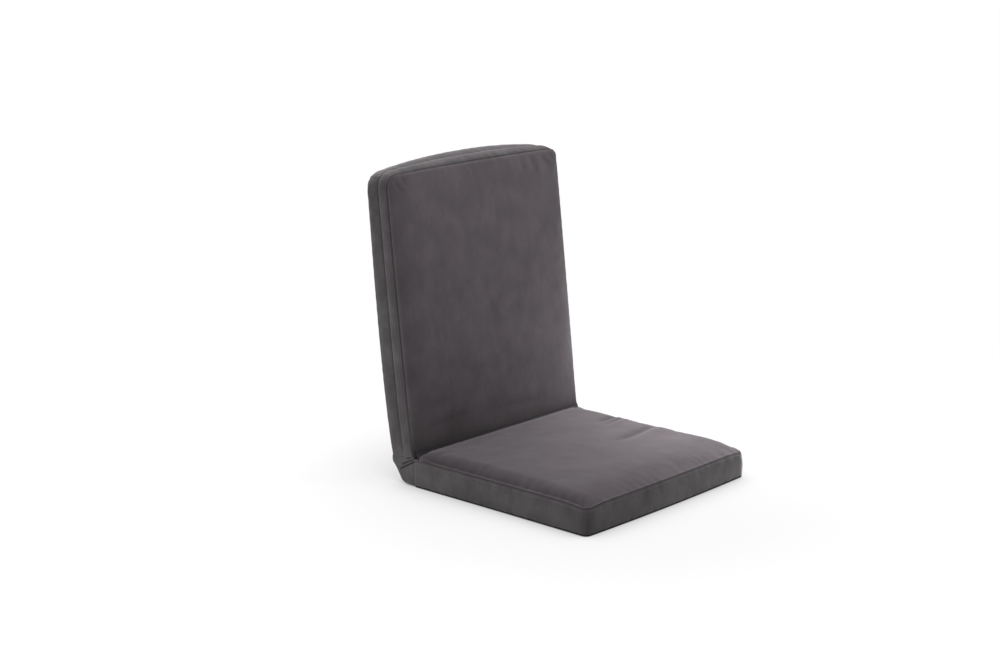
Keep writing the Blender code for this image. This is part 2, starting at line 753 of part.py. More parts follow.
def main():
    clear_scene()
    velvet = make_material("grey_velvet", (0.095, 0.088, 0.093), 0.9)
    foam = make_material("cream_foam", (0.78, 0.70, 0.48), 0.95)
    steel = make_material("black_steel", (0.03, 0.03, 0.032), 0.45, 0.6)
    zinc = make_material("zinc_steel", (0.62, 0.63, 0.64), 0.35, 1.0)
    webbing = make_material("black_webbing", (0.02, 0.02, 0.02), 0.85)
    base_fabric = make_material("black_base_fabric", (0.018, 0.018, 0.02), 0.9)

    axis = make_empty("hinge_axis", (0.0, HINGE_Y, HINGE_Z))
    pivot = make_empty("backrest_pivot", (0.0, HINGE_Y, HINGE_Z), turn_x=-math.radians(RECLINE_DEG))
    seat = make_empty("seat_frame", (0.0, HINGE_Y - END_GAP, SEAT_HEIGHT), turn_z=math.pi)
    back_place = (0.0, -AXIS_BEHIND_FRONT, END_GAP)
    back = make_empty("back_frame", back_place, turn_x=math.pi / 2, parent=pivot)

    build_seat(seat, velvet, foam, steel, webbing, base_fabric)
    build_back(back, velvet, foam, steel, webbing)
    for side, name in ((-1, "left"), (1, "right")):
        build_hinge(side, name, axis, pivot, steel, zinc)
    build_hinge_cover(axis, velvet)


main()
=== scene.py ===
"""Folding floor chair in grey velvet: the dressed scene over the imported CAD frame.

The file is laid out as an add-on. Run as a script it registers itself, makes every piece with its
operators and leaves the studio, the lights and the camera set.
"""

import json
import math
from collections import namedtuple

import bmesh
import bpy
import numpy as np
from bpy.props import FloatProperty, FloatVectorProperty, PointerProperty
from mathutils import Matrix, Vector, noise


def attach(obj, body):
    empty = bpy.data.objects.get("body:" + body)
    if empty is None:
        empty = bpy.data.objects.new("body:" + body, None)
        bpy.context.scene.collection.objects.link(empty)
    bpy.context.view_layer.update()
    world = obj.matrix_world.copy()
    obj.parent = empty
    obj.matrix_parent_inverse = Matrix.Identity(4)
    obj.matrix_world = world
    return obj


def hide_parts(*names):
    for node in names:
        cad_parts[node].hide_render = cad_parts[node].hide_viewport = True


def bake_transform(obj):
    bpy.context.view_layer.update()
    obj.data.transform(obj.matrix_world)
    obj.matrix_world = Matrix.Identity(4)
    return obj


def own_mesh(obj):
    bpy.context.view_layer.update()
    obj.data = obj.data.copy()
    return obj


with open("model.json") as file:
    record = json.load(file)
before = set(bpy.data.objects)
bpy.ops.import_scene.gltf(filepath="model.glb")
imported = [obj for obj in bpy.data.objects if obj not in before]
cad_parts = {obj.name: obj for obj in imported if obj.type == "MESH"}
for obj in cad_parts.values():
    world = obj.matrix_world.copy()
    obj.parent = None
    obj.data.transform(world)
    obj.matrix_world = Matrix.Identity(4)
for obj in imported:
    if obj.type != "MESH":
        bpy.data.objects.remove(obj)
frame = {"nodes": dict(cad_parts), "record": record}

bl_info = {
    "name": "Folding Floor Chair",
    "version": (1, 0, 0),
    "blender": (4, 5, 0),
    "location": "View3D > Sidebar > Chair",
    "description": "Dresses a folding floor chair: velvet pads, hinge fabric, seams and a studio",
    "category": "Object",
}

# The hinge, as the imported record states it
HINGE = frame["record"]["behaviour"]["joints"][0]
AXIS = Vector(HINGE["pos_m"])
RECLINE = math.radians(90.0 - HINGE["range_deg"][1])
END_GAP = 0.001
AXIS_ABOVE_SEAT = 0.005
AXIS_BEHIND_FRONT = 0.004

# A pad's own frame: x across, v away from the hinge end, z out of the face one sits on or leans on
SEAT_FRAME = (
    Matrix.Translation(AXIS - Vector((0.0, END_GAP, AXIS_ABOVE_SEAT)))
    @ Matrix.Rotation(math.pi, 4, "Z")
)
BACK_FRAME = (
    Matrix.Translation(AXIS)
    @ Matrix.Rotation(-RECLINE, 4, "X")
    @ Matrix.Translation((0.0, -AXIS_BEHIND_FRONT, END_GAP))
    @ Matrix.Rotation(math.pi / 2, 4, "X")
)

# Grid of the covers
CELL = 0.0062
EDGE_CELLS = (0.0, 0.0011, 0.0023, 0.0037, 0.0058, 0.0092, 0.0140)
SEAT_ROWS = (0.0, -0.0022, -0.0048, -0.010, -0.017, -0.025, -0.033, -0.040, -0.0466, -0.0504, -0.0546)
TOP_ROWS = (0.0, -0.0020, -0.0040)
BACK_ROWS = (0.0, -0.0028, -0.0060, -0.0088, -0.0105, -0.0122, -0.017, -0.024, -0.030, -0.0324,
             -0.0340, -0.0356, -0.040, -0.047, -0.054, -0.0595, -0.0625, -0.064)
BACK_SEAMS = (0.0105, 0.0340, 0.0640)
# The row of the boxing along which each pad is stitched
SEAT_STITCH_ROW = 2
BACK_STITCH_ROW = 5

# A pad's form: its box, the rolls along its edges and the radii of its corners, the rise of its panels
# and how soon they reach it, the shape of its free end, how full its boxing is, how its seams draw in
Pad = namedtuple(
    "Pad",
    "name width length depth front_roll rear_roll hinge_roll front_corner rear_corner hinge_corner "
    "crown rear_crown side_roll end_roll hinge_rise rear_bulge arch_front arch_rear tilt draw swell "
    "end_swell seams end_lead end_fall seam_depth corner_drop lift lip shades rows place full_hinge",
)
Crease = namedtuple("Crease", "start end width depth")

# Creases that the photograph shows, across and along the pad, in metres
SEAT_CREASES = (
    Crease((-0.232, 0.1220), (-0.152, 0.1275), 0.0066, 0.0046),
    Crease((-0.228, 0.1415), (-0.146, 0.1505), 0.0062, 0.0036),
    Crease((-0.232, 0.2255), (-0.060, 0.2440), 0.0120, 0.0036),
    Crease((0.242, 0.3980), (0.216, 0.3920), 0.0045, 0.0012),
    Crease((0.241, 0.4150), (0.212, 0.4060), 0.0045, 0.0014),
    Crease((0.236, 0.0300), (0.180, 0.0520), 0.0100, 0.0012),
)
BACK_CREASES = (
    Crease((0.193, 0.5680), (0.224, 0.5250), 0.0050, 0.0022),
    Crease((0.159, 0.5680), (0.183, 0.5130), 0.0055, 0.0020),
    Crease((0.131, 0.5650), (0.140, 0.5260), 0.0050, 0.0013),
    Crease((0.215, 0.5640), (0.238, 0.5440), 0.0040, 0.0016),
    Crease((-0.236, 0.5560), (-0.214, 0.5300), 0.0045, 0.0014),
    Crease((-0.222, 0.5660), (-0.204, 0.5450), 0.0045, 0.0012),
    Crease((0.240, 0.4300), (0.205, 0.4180), 0.0070, 0.0010),
    Crease((0.241, 0.3500), (0.200, 0.3580), 0.0080, 0.0010),
    Crease((-0.242, 0.2100), (-0.205, 0.2180), 0.0070, 0.0009),
    Crease((-0.241, 0.3900), (-0.200, 0.3800), 0.0080, 0.0009),
    Crease((-0.225, 0.0560), (-0.020, 0.0700), 0.0090, 0.0011),
    Crease((0.150, 0.0450), (-0.040, 0.0540), 0.0080, 0.0009),
    Crease((-0.215, 0.0980), (-0.090, 0.1060), 0.0100, 0.0008),
)

# Less than these is nothing: a distance from an edge, and a length to divide by
ON_EDGE = 1e-6
TINY = 1e-9

# Numbers of the row on a pad's front and rear panels, and of the base fabric among a pad's materials
FRONT_ROW = -1
REAR_ROW = -2
BASE = 2

# The rise of the seat's top seam, which begins this far behind the hinge end and takes this long
SEAT_LIFT = 0.0024
LIFT_START = 0.006
LIFT_FADE = 0.030
# The seat's top panel: how far inside the boxing's edge and before the hinge end it lies, the lip along
# its seam and how soon that starts, and the share of its height that it keeps at the hinge's limits
TOP_INSET = 0.0015
TOP_BEFORE_HINGE = 0.007
LIP_WIDTH = 0.0040
LIP_FADE = 0.012
# Its full cheeks beside the crease: how round, how high a share of the crown, how far along
CHEEK_ROUND = 0.008
CHEEK_SHARE = 0.8
CHEEK_REACH = 0.024
# How deep into the back its front panel's lower top edge reaches
END_FALL_DEPTH = 0.028
# Over these lengths a pad's edge rolls grow from the hinge end, and its boxing grows full
ROLL_FADE = 0.020
BOXING_FADE = 0.05
# How far in from the edge the boxing's fullness is felt, and half the width of a drawn-in seam
BOXING_BAND = 0.006
SEAM_WIDTH = 0.0016
# The lean of the free end starts this far before it and takes this long, and corners drop within this
LEAD_START = 0.030
LEAD_FADE = 0.022
CORNER_REACH = 0.034

# Gathers: from one to the next, and how far they reach on a panel, on the boxing and from a corner
GATHER_PITCH = 0.024
PANEL_GATHERS = 0.024
BOXING_GATHERS = 0.010
CORNER_GATHERS = 0.035
# Slack of a panel, coarse and fine, and how far in from the edge it starts
SLACK = 0.0011
FINE_SLACK = 0.0005
SLACK_FADE = 0.03
# Where the relief starts from the hinge end, and over what length
RELIEF_START = 0.004
RELIEF_FADE = 0.06

# Settling as cloth: frames, the furthest move, where that starts, and the length held at the hinge end
SETTLE_FRAMES = 20
SETTLE_MOST = 0.0011
SETTLE_START = 0.01
SETTLE_FADE = 0.08
HELD_END = 0.012

# Painted shades, cut off at 1: down the seat's side rolls, and in folds, full at this depth
ROLL_SHADE = 0.62
FOLD_SHADE = 0.5
FOLD_DEPTH = 0.0025
# Painted shade along a seam: how near it, from where, how dark, and the mean painted shade over which a side
# face counts as lying in one and takes the shaded velvet
SEAM_NEAR = 0.0005
SEAM_START = 0.01
SEAM_DARK = 0.66
SEAM_SHADE = 0.32
# Painted shade down the back's panel into the crease, and in from its rim
CREASE_DARK = 1.15
CREASE_REACH = 0.025
RIM_DARK = 0.16
RIM_REACH = 0.030
# Painted shade in the seam over the back's top edge: how dark, how deep and wide, and clear of the sides by
# this, and the dark line at its corners
TOP_SEAM_DARK = 0.95
TOP_SEAM_DEPTH = 0.0088
TOP_SEAM_WIDTH = 0.0036
TOP_SEAM_CLEAR = 0.004
CORNER_DARK = 0.9
# A patch of painted shade low on the back: how dark, its middle across and along, and its reach
PATCH_DARK = 0.22
PATCH_PLACE = (-0.17, 0.09)
PATCH_REACH = (0.11, 0.09)

# A stitch: half its length as a share of the pitch, its thickness, its rise, the sink of its ends
STITCH_HALF = 0.33
STITCH_THICK = 0.00042
STITCH_RISE = 0.0003
STITCH_SINK = 0.0007
STITCH_SIDES = 6
# Its rings: how far along the half length each stands, and how thick it is
STITCH_RINGS = ((-1.0, 0.25), (-0.6, 1.0), (0.6, 1.0), (1.0, 0.25))

# The hinge cover's outer line, back and up from the axis: along the floor, up the slant, to the back
COVER_LINE = (
    (-0.0200, -0.0592), (-0.0100, -0.0593), (0.0000, -0.0593), (0.0140, -0.0590), (0.0240, -0.0584),
    (0.0330, -0.0566), (0.0385, -0.0516), (0.0430, -0.0440), (0.0474, -0.0370), (0.0520, -0.0305),
    (0.0564, -0.0252), (0.0612, -0.0206), (0.0642, -0.0160), (0.0648, -0.0090), (0.0638, -0.0030),
    (0.0626, 0.0040), (0.0608, 0.0100),
)
# Folds of the gusset: each falls from the crease by degrees, this far below the axis, and has a width,
# a depth and a reach
GUSSET_FOLDS = (
    (21.5, -4.1e-3, 1.2e-3, 2.2e-3, 0.027),
    (26.5, 1.1e-3, 1.3e-3, 3.2e-3, 0.042),
    (28.8, 5.9e-3, 1.7e-3, 4.4e-3, 0.052),
)
GUSSET_ROLL = (27.5, 3.4e-3, 1.8e-3, 1.2e-3, 0.048)
# The depth at which a gusset fold's painted shade is darkest, and the fading of a fold's end
GUSSET_DARK_DEPTH = 0.0024
FOLD_FADE = 0.008
# The cover is tucked this far beside each pad, and sinks in there over the fade
TUCK = 0.010
TUCK_FADE = 0.008
TUCK_SINK = 0.0026
# All of the cover lies this far inside the pads' width, and the open gusset stands proud of that
CLOTH_INSET = 0.0003
GUSSET_PROUD = 0.0007
# The cover behind the hinge ripples by this, and by less outwards, and stays this far over the floor
RIPPLE = 0.0009
RIPPLE_OUT = 0.0002
FLOOR_CLEAR = 0.0006
COVER_THICKNESS = 0.0016

# The strip in the crease, back and up from the axis
CREASE_LINE = (
    (-0.0240, -0.0052), (-0.0170, -0.0042), (-0.0120, -0.0034), (-0.0094, -0.0022), (-0.0080, 0.0000),
    (-0.0074, 0.0026), (-0.0062, 0.0060), (-0.0042, 0.0100), (-0.0014, 0.0150), (0.0002, 0.0200),
)
# Painted shade across the strip's rows, from the seat to the back, darkest up in the crease
CREASE_SHADE = (0.0, 0.1, 0.3, 0.4, 0.4, 0.45, 0.6, 0.9, 1.0, 1.0)
# How far its ends lie inside the pads' sides, its points across, and its thickness
STRIP_INSET = 0.0010
STRIP_COLUMNS = 70
STRIP_THICKNESS = 0.0012

# Grip dots: radius, height, and the bare border round them
GRIP_RADIUS = 0.0026
GRIP_HEIGHT = 0.001
GRIP_BORDER = 0.030

# The camera, fitted to the photograph: place, tilt and turn in degrees, and lens in millimetres
CAMERA_PLACE = (-2.7861, -2.3096, 1.1728)
CAMERA_TILT = 76.54
CAMERA_TURN = -47.763
CAMERA_LENS = 67.9

# Soft studio lamps: place, the point they face, diameter, watts, and how wide they throw, in degrees
Lamp = namedtuple("Lamp", "name place aim size power spread")
LAMPS = (
    Lamp("Front right", (1.2, -1.6, 1.5), (0.0, 0.1, 0.2), 1.2, 9.5, 180.0),
    Lamp("Front left", (-1.8, -1.8, 1.6), (0.0, 0.1, 0.2), 1.4, 6.3, 180.0),
    Lamp("Left", (-1.9, 0.7, 0.5), (0.0, 0.1, 0.2), 1.4, 17.0, 180.0),
    Lamp("Over the seat", (0.80, -0.02, 1.10), (0.45, -0.02, 0.06), 0.35, 2.9, 50.0),
    Lamp("Before the back", (0.25, -0.55, 1.35), (0.0, 0.25, 0.5), 0.5, 2.7, 100.0),
    Lamp("Over the back", (0.0, 0.9, 1.6), (0.0, 0.3, 0.6), 0.6, 4.5, 100.0),
    Lamp("Rear", (0.5, 2.4, 1.0), (0.0, 0.3, 0.3), 1.4, 12.0, 180.0),
)


class ChairSizes(bpy.types.PropertyGroup):
    """Sizes of the pads and of their sewing."""

    pad_width: FloatProperty(name="Pad width", description="Across the chair", default=0.5, unit="LENGTH")
    seat_length: FloatProperty(
        name="Seat length", description="Front to hinge", default=0.443, unit="LENGTH"
    )
    seat_depth: FloatProperty(
        name="Seat depth", description="Floor to the seat's seam", default=0.055, unit="LENGTH"
    )
    seat_crown: FloatProperty(
        name="Seat crown", description="Rise of the seat's middle over its seam", default=0.015, unit="LENGTH"
    )
    back_length: FloatProperty(
        name="Back length", description="Hinge to the top seam", default=0.571, unit="LENGTH"
    )
    back_depth: FloatProperty(
        name="Back depth", description="Front seam to rear seam", default=0.064, unit="LENGTH"
    )
    back_crown: FloatProperty(
        name="Back crown", description="Rise of the back's front panel", default=0.009, unit="LENGTH"
    )
    top_arch: FloatProperty(
        name="Top arch", description="Rise of the back's rear top edge", default=0.017, unit="LENGTH"
    )
    corner_radius: FloatProperty(
        name="Corner radius", description="Of the pads' free corners", default=0.016, unit="LENGTH"
    )
    seam_depth: FloatProperty(
        name="Seam depth", description="How far the seams draw in", default=0.0018, unit="LENGTH"
    )
    gather_height: FloatProperty(
        name="Gathers", description="Height of the puckers beside the seams", default=0.0004, unit="LENGTH"
    )
    stitch_pitch: FloatProperty(
        name="Stitch pitch", description="From stitch to stitch", default=0.0048, unit="LENGTH"
    )
    grip_pitch: FloatProperty(
        name="Grip dot pitch", description="Of the dots under the seat", default=0.020, unit="LENGTH"
    )


class ChairColours(bpy.types.PropertyGroup):
    """Colours of the materials, as linear light."""

    velvet_dark: FloatVectorProperty(
        name="Velvet, deep", description="Pile brushed towards the eye", subtype="COLOR", size=3,
        default=(0.070, 0.0605, 0.0665),
    )
    velvet_light: FloatVectorProperty(
        name="Velvet, light", description="Pile brushed away from the eye", subtype="COLOR", size=3,
        default=(0.096, 0.083, 0.091),
    )
    thread: FloatVectorProperty(
        name="Thread", description="Sewing thread", subtype="COLOR", size=3, default=(0.150, 0.140, 0.145)
    )
    base_fabric: FloatVectorProperty(
        name="Base fabric", description="Under the seat", subtype="COLOR", size=3,
        default=(0.016, 0.016, 0.017),
    )
    grip: FloatVectorProperty(
        name="Grip dots", description="Rubber dots under the seat", subtype="COLOR", size=3,
        default=(0.030, 0.030, 0.031),
    )
    webbing: FloatVectorProperty(
        name="Webbing", description="Elastic straps", subtype="COLOR", size=3, default=(0.020, 0.020, 0.021)
    )
    steel: FloatVectorProperty(
        name="Coated steel", description="Frame tubes", subtype="COLOR", size=3, default=(0.018, 0.018, 0.019)
    )
    zinc: FloatVectorProperty(
        name="Zinc", description="Hinge plates and rivets", subtype="COLOR", size=3,
        default=(0.56, 0.57, 0.58),
    )


# Shapes in numbers


def smooth(t):
    t = np.clip(t, 0.0, 1.0)
    return t * t * (3.0 - 2.0 * t)


def ease_out(t):
    return 1.0 - (1.0 - np.clip(t, 0.0, 1.0)) ** 3


def quarter_round(t):
    return np.sqrt(1.0 - (1.0 - np.clip(t, 0.0, 1.0)) ** 2)


def bell(distance, width):
    return np.exp(-((distance / width) ** 2))


def noise_at(points, scale, seed):
    """Smooth noise from -1 to 1 at each point, the same in every run."""
    return np.array([noise.noise(Vector(p) * scale + Vector((seed, 0.0, 0.0))) for p in points])


def spaced(low, high, step, tight):
    """Places from low to high: as near both ends as tight says, and even between."""
    count = max(round((high - low - 2 * tight[-1]) / step), 1)
    middle = np.linspace(low + tight[-1], high - tight[-1], count + 1)
    near = np.array(tight[:-1])
    return np.concatenate([low + near, middle, high - near[::-1]])


def skin_grid(xs, vs, zs):
    """A box's skin as a grid: points, faces, each face's row down the side, and each point's number."""
    number = {}
    points = []
    faces = []
    rows = []

    def at(i, j, k):
        if (i, j, k) not in number:
            number[i, j, k] = len(points)
            points.append((xs[i], vs[j], zs[k]))
        return number[i, j, k]

    def add(corners, flipped, row):
        quad = [at(*corner) for corner in corners]
        faces.append(quad[::-1] if flipped else quad)
        rows.append(row)

    end_i, end_j, end_k = len(xs) - 1, len(vs) - 1, len(zs) - 1
    for i in range(end_i):
        for j in range(end_j):
            for k, row in ((0, FRONT_ROW), (end_k, REAR_ROW)):
                add(((i, j, k), (i + 1, j, k), (i + 1, j + 1, k), (i, j + 1, k)), k > 0, row)
    for k in range(end_k):
        for i in range(end_i):
            for j in (0, end_j):
                add(((i, j, k), (i, j, k + 1), (i + 1, j, k + 1), (i + 1, j, k)), j > 0, k)
        for j in range(end_j):
            for i in (0, end_i):
                add(((i, j, k), (i, j + 1, k), (i, j + 1, k + 1), (i, j, k + 1)), i > 0, k)
    return np.array(points), faces, rows, number


def pad_form(pad, grid):
    """Lays a box grid on the pad: rolled edges, round corners, drawn-in sides, seams and crown."""
    x, v, z = grid.T.copy()
    depth_at = -z
    half_x, half_v = pad.width / 2, pad.length / 2
    q = v - half_v
    inset = np.minimum(half_x - abs(x), half_v - abs(q))
    by_hinge = smooth(v / ROLL_FADE)
    for roll, depth, way in ((pad.front_roll, depth_at, 1.0), (pad.rear_roll, pad.depth - depth_at, -1.0)):
        roll = np.minimum(pad.hinge_roll, roll) * (1.0 - by_hinge) + roll * by_hinge
        a = np.maximum(roll - inset, 0.0)
        b = np.maximum(roll - depth, 0.0)
        keep = np.where((a > 0) & (b > 0), roll / np.maximum(np.hypot(a, b), TINY), 1.0)
        shift = a * (1.0 - keep)
        x = x * (1.0 - shift / np.maximum(half_x - inset, roll))
        q = q * (1.0 - shift / np.maximum(half_v - inset, roll))
        z = z - way * b * (1.0 - keep)

    radius = pad.front_corner + (pad.rear_corner - pad.front_corner) * np.clip(depth_at / pad.depth, 0.0, 1.0)
    radius = np.where(q > 0, radius, pad.hinge_corner)
    a = np.maximum(abs(x) - (half_x - radius), 0.0)
    b = np.maximum(abs(q) - (half_v - radius), 0.0)
    far = np.hypot(a, b)
    corner = (a > 0) & (b > 0)
    pull = np.where(corner, np.maximum(a, b) / np.maximum(far, TINY), 1.0)
    x = np.where(corner, np.sign(x) * (half_x - radius + a * pull), x)
    q = np.where(corner, np.sign(q) * (half_v - radius + b * pull), q)

    to_x = half_x - abs(grid[:, 0]) <= half_v - abs(grid[:, 1] - half_v)
    out_x = np.where(corner, a / np.maximum(far, TINY), to_x * 1.0) * np.sign(x)
    out_v = np.where(corner, b / np.maximum(far, TINY), 1.0 - to_x) * (q > 0)
    swell = np.where(to_x, pad.swell, pad.end_swell * (1.0 - (grid[:, 0] / half_x) ** 4))
    out = side_profile(pad, depth_at, swell) * bell(inset, BOXING_BAND)
    out = out * (0.25 + 0.75 * smooth(v / BOXING_FADE))
    x = x + out_x * out
    v = q + half_v + out_v * out

    first = max(pad.seams[0], ON_EDGE)
    lead = np.where(depth_at < first, depth_at / first, (pad.depth - depth_at) / (pad.depth - first))
    z = z + pad.end_lead * lead * smooth((v - pad.length + LEAD_START) / LEAD_FADE) * (inset < ON_EDGE)
    to_corner = np.hypot(half_x - abs(x), np.maximum(pad.length - v, 0.0))
    z = z - pad.corner_drop * bell(to_corner, CORNER_REACH) * smooth(1.0 - depth_at / pad.depth)
    z = z + pad.lift * smooth((v + LIFT_START) / LIFT_FADE) * (1.0 - depth_at / pad.depth)
    share = crown_share(pad, x, v)
    lip = pad.lip * bell(inset - 0.4 * LIP_WIDTH, 0.35 * LIP_WIDTH) * smooth(v / LIP_FADE)
    z = z + np.where(depth_at < ON_EDGE, pad.crown * share + lip, 0.0)
    z = z - np.where(depth_at > pad.depth - ON_EDGE, pad.rear_crown * share, 0.0)
    belly = np.sin(math.pi * np.clip(v / pad.length, 0.0, 1.0) ** 0.6)
    z = z - pad.rear_bulge * belly * smooth(depth_at / pad.depth)
    x = x * (1.0 - pad.draw * np.sin(math.pi * np.clip(v / pad.length, 0.0, 1.0)) / half_x)
    back = np.clip(-z / pad.depth, 0.0, 1.0)
    arch = (pad.arch_front + (pad.arch_rear - pad.arch_front) * back) * (1.0 - (x / half_x) ** 2)
    arch = arch + pad.tilt * (0.4 + 0.6 * back) * (0.5 * x / half_x - 0.4)
    arch = arch - pad.end_fall * (1.0 - smooth(-z / END_FALL_DEPTH))
    v = v + arch * smooth((v - half_v) / half_v)
    return np.stack([x, v, z], axis=1)


def side_profile(pad, depth, swell):
    """How far the boxing stands out at each depth: full between seams, drawn in along them."""
    out = np.zeros_like(depth)
    for first, second in zip(pad.seams, pad.seams[1:]):
        s = (depth - first) / (second - first)
        out = out + np.where((s > 0) & (s < 1), swell * 4.0 * s * (1.0 - s), 0.0)
    for seam in pad.seams[:-1]:
        out = out - pad.seam_depth * bell(depth - seam, SEAM_WIDTH)
    return out


def crown_share(pad, x, v):
    """The share of its crown that a panel has at a place: none on its seams, all in its middle."""
    hinge_ease = quarter_round if pad.full_hinge else smooth
    lip = LIP_WIDTH * (pad.lip > 0)
    sides = ease_out((pad.width / 2 - abs(x) - lip) / pad.side_roll)
    if pad.full_hinge:
        cheek = quarter_round((pad.width / 2 - abs(x)) / CHEEK_ROUND)
        sides = np.maximum(sides, CHEEK_SHARE * cheek * bell(v, CHEEK_REACH))
    return sides * ease_out((pad.length - v - lip) / pad.end_roll) * hinge_ease(v / pad.hinge_rise)


def crease_height(crease, x, v):
    """A fold line: a soft groove with a low ridge on one side, fading at both ends."""
    run = np.subtract(crease.end, crease.start)
    length = np.hypot(*run)
    along = ((x - crease.start[0]) * run[0] + (v - crease.start[1]) * run[1]) / length**2
    across = ((v - crease.start[1]) * run[0] - (x - crease.start[0]) * run[1]) / length
    fade = smooth(along / 0.25) * smooth((1.0 - along) / 0.5)
    groove = -bell(across, crease.width)
    ridge = 0.6 * bell(across - 2.0 * crease.width, 1.3 * crease.width)
    return crease.depth * fade * (groove + ridge)


def pad_relief(pad, grid, creases, gather):
    """Heights along the normal: gathers beside the seams, slack in the panels, and the creases."""
    x, v, z = grid.T
    to_side = pad.width / 2 - abs(x)
    to_end = pad.length - v
    inset = np.minimum(np.minimum(to_side, to_end), v)
    front = z > -ON_EDGE
    rear = -z > pad.depth - ON_EDGE
    panel = front | rear
    seams = np.array(pad.seams)
    from_seam = np.where(panel, inset + seams[0] * front, np.min(abs(-z[:, None] - seams), axis=1))
    along = np.where(to_side < to_end, v, 2.0 + x)
    none = np.zeros_like(z)
    wander = noise_at(np.stack([along, none, none], axis=1), 11.0, 3.1)
    strength = 0.5 + 0.9 * noise_at(np.stack([along, none + 5.0, none], axis=1), 17.0, 7.7)
    wave = np.sin(2.0 * math.pi * along / GATHER_PITCH + 5.0 * wander)
    reach = np.where(panel, PANEL_GATHERS, BOXING_GATHERS)
    height = gather * np.clip(strength, 0.0, 1.3) * wave * bell(from_seam, reach)
    near_corner = bell(np.hypot(to_side, to_end), CORNER_GATHERS)
    height = height * (1.0 + 1.2 * near_corner)
    slack = SLACK * noise_at(grid, 13.0, 1.5) + FINE_SLACK * noise_at(grid, 34.0, 9.2)
    height = height + slack * smooth(inset / SLACK_FADE) * panel
    for crease in creases:
        height = height + np.where(front, crease_height(crease, x, v), 0.0)
    by_hinge = smooth((v - RELIEF_START) / RELIEF_FADE)
    return np.where(rear & (pad.rear_crown == 0.0), 0.0, height * by_hinge)


# Meshes


def new_object(name, points, faces, materials, indices=None):
    """A smooth mesh object at the origin, with its materials."""
    mesh = bpy.data.meshes.new(name)
    mesh.from_pydata([tuple(p) for p in points], [], faces)
    for finish in materials:
        mesh.materials.append(finish)
    if indices is not None:
        mesh.polygons.foreach_set("material_index", indices)
    mesh.polygons.foreach_set("use_smooth", [True] * len(mesh.polygons))
    mesh.update()
    if mesh.validate():
        raise RuntimeError(f"{name}: the mesh has faulty faces")
    obj = bpy.data.objects.new(name, mesh)
    bpy.context.scene.collection.objects.link(obj)
    return obj


def points_of(mesh):
    points = np.empty(len(mesh.vertices) * 3)
    mesh.vertices.foreach_get("co", points)
    return points.reshape(-1, 3)


def set_points(mesh, points):
    mesh.vertices.foreach_set("co", np.asarray(points).ravel())
    mesh.update()


def normals_of(mesh):
    normals = np.empty(len(mesh.vertices) * 3)
    mesh.vertex_normals.foreach_get("vector", normals)
    return normals.reshape(-1, 3)


def set_shade(mesh, shade):
    """Stores how much of the light a seam or fold keeps out, for the velvet to darken."""
    layer = mesh.attributes.new("shade", "FLOAT", "POINT")
    layer.data.foreach_set("value", np.clip(shade, 0.0, 1.0))


def apply_modifiers(obj):
    """Makes the modified mesh the object's own."""
    evaluated = obj.evaluated_get(bpy.context.evaluated_depsgraph_get())
    mesh = bpy.data.meshes.new_from_object(evaluated)
    old = obj.data
    obj.modifiers.clear()
    obj.data = mesh
    bpy.data.meshes.remove(old)
    mesh.name = obj.name


def refine(obj):
    """One level of subdivision, applied."""
    modifier = obj.modifiers.new("Fine grid", "SUBSURF")
    modifier.levels = 1
    modifier.render_levels = 1
    apply_modifiers(obj)


def settle(obj, held, cap):
    """Lets the cover settle as cloth over its filling: held points stay, others move at most by cap."""
    scene = bpy.context.scene
    group = obj.vertex_groups.new(name="Held")
    group.add([int(i) for i in np.flatnonzero(held)], 1.0, "REPLACE")
    modifier = obj.modifiers.new("Cover", "CLOTH")
    cloth = modifier.settings
    cloth.quality = 5
    cloth.mass = 0.02
    cloth.tension_stiffness = 12.0
    cloth.compression_stiffness = 12.0
    cloth.shear_stiffness = 6.0
    cloth.bending_stiffness = 0.4
    cloth.use_pressure = True
    cloth.uniform_pressure_force = 4.0
    cloth.shrink_min = -0.006
    cloth.vertex_group_mass = group.name
    cloth.effector_weights.gravity = 0.0
    modifier.collision_settings.use_collision = False
    before = points_of(obj.data)
    for number in range(1, SETTLE_FRAMES + 1):
        scene.frame_set(number)
    evaluated = obj.evaluated_get(bpy.context.evaluated_depsgraph_get())
    after = points_of(evaluated.data)
    scene.frame_set(1)
    obj.modifiers.clear()
    obj.vertex_groups.clear()
    move = after - before
    length = np.linalg.norm(move, axis=1)
    if not np.isfinite(length).all():
        raise RuntimeError(f"{obj.name}: the cloth did not settle")
    limit = cap * np.tanh(length / np.maximum(cap, TINY)) / np.maximum(length, TINY)
    set_points(obj.data, before + move * limit[:, None])


def roll_shade(pad, x, v, depth):
    """Painted shade down the seat's side rolls, past the lip and growing from the hinge end."""
    to_side = pad.width / 2 - abs(x)
    down = 1.0 - ease_out((to_side - LIP_WIDTH) / pad.side_roll)
    past_lip = smooth((to_side - 0.6 * LIP_WIDTH) / LIP_WIDTH)
    return ROLL_SHADE * down * past_lip * smooth(v / ROLL_FADE) * (depth < ON_EDGE)


def crease_shade(pad, x, v, depth):
    """Painted shade on the back: into the crease, in its rim and patch, over its top edge and at its corners.
    """
    to_side = pad.width / 2 - abs(x)
    on_front = depth < pad.seams[0]
    on_end = pad.length - v < ON_EDGE
    crease = CREASE_DARK * np.exp(-v / CREASE_REACH) * on_front
    top_edge = on_end & (to_side > TOP_SEAM_CLEAR)
    top_seam = TOP_SEAM_DARK * top_edge * bell(depth - TOP_SEAM_DEPTH, TOP_SEAM_WIDTH)
    on_corner = on_end & (to_side < ON_EDGE) & (depth > pad.seams[1])
    rim = RIM_DARK * bell(to_side, RIM_REACH)
    across = (x - PATCH_PLACE[0]) / PATCH_REACH[0]
    along = (v - PATCH_PLACE[1]) / PATCH_REACH[1]
    # The patch is painted shade, darker low on the left of the panel
    brushed = PATCH_DARK * np.exp(-(across**2) - along**2)
    return crease + top_seam + CORNER_DARK * on_corner + (rim + brushed) * on_front


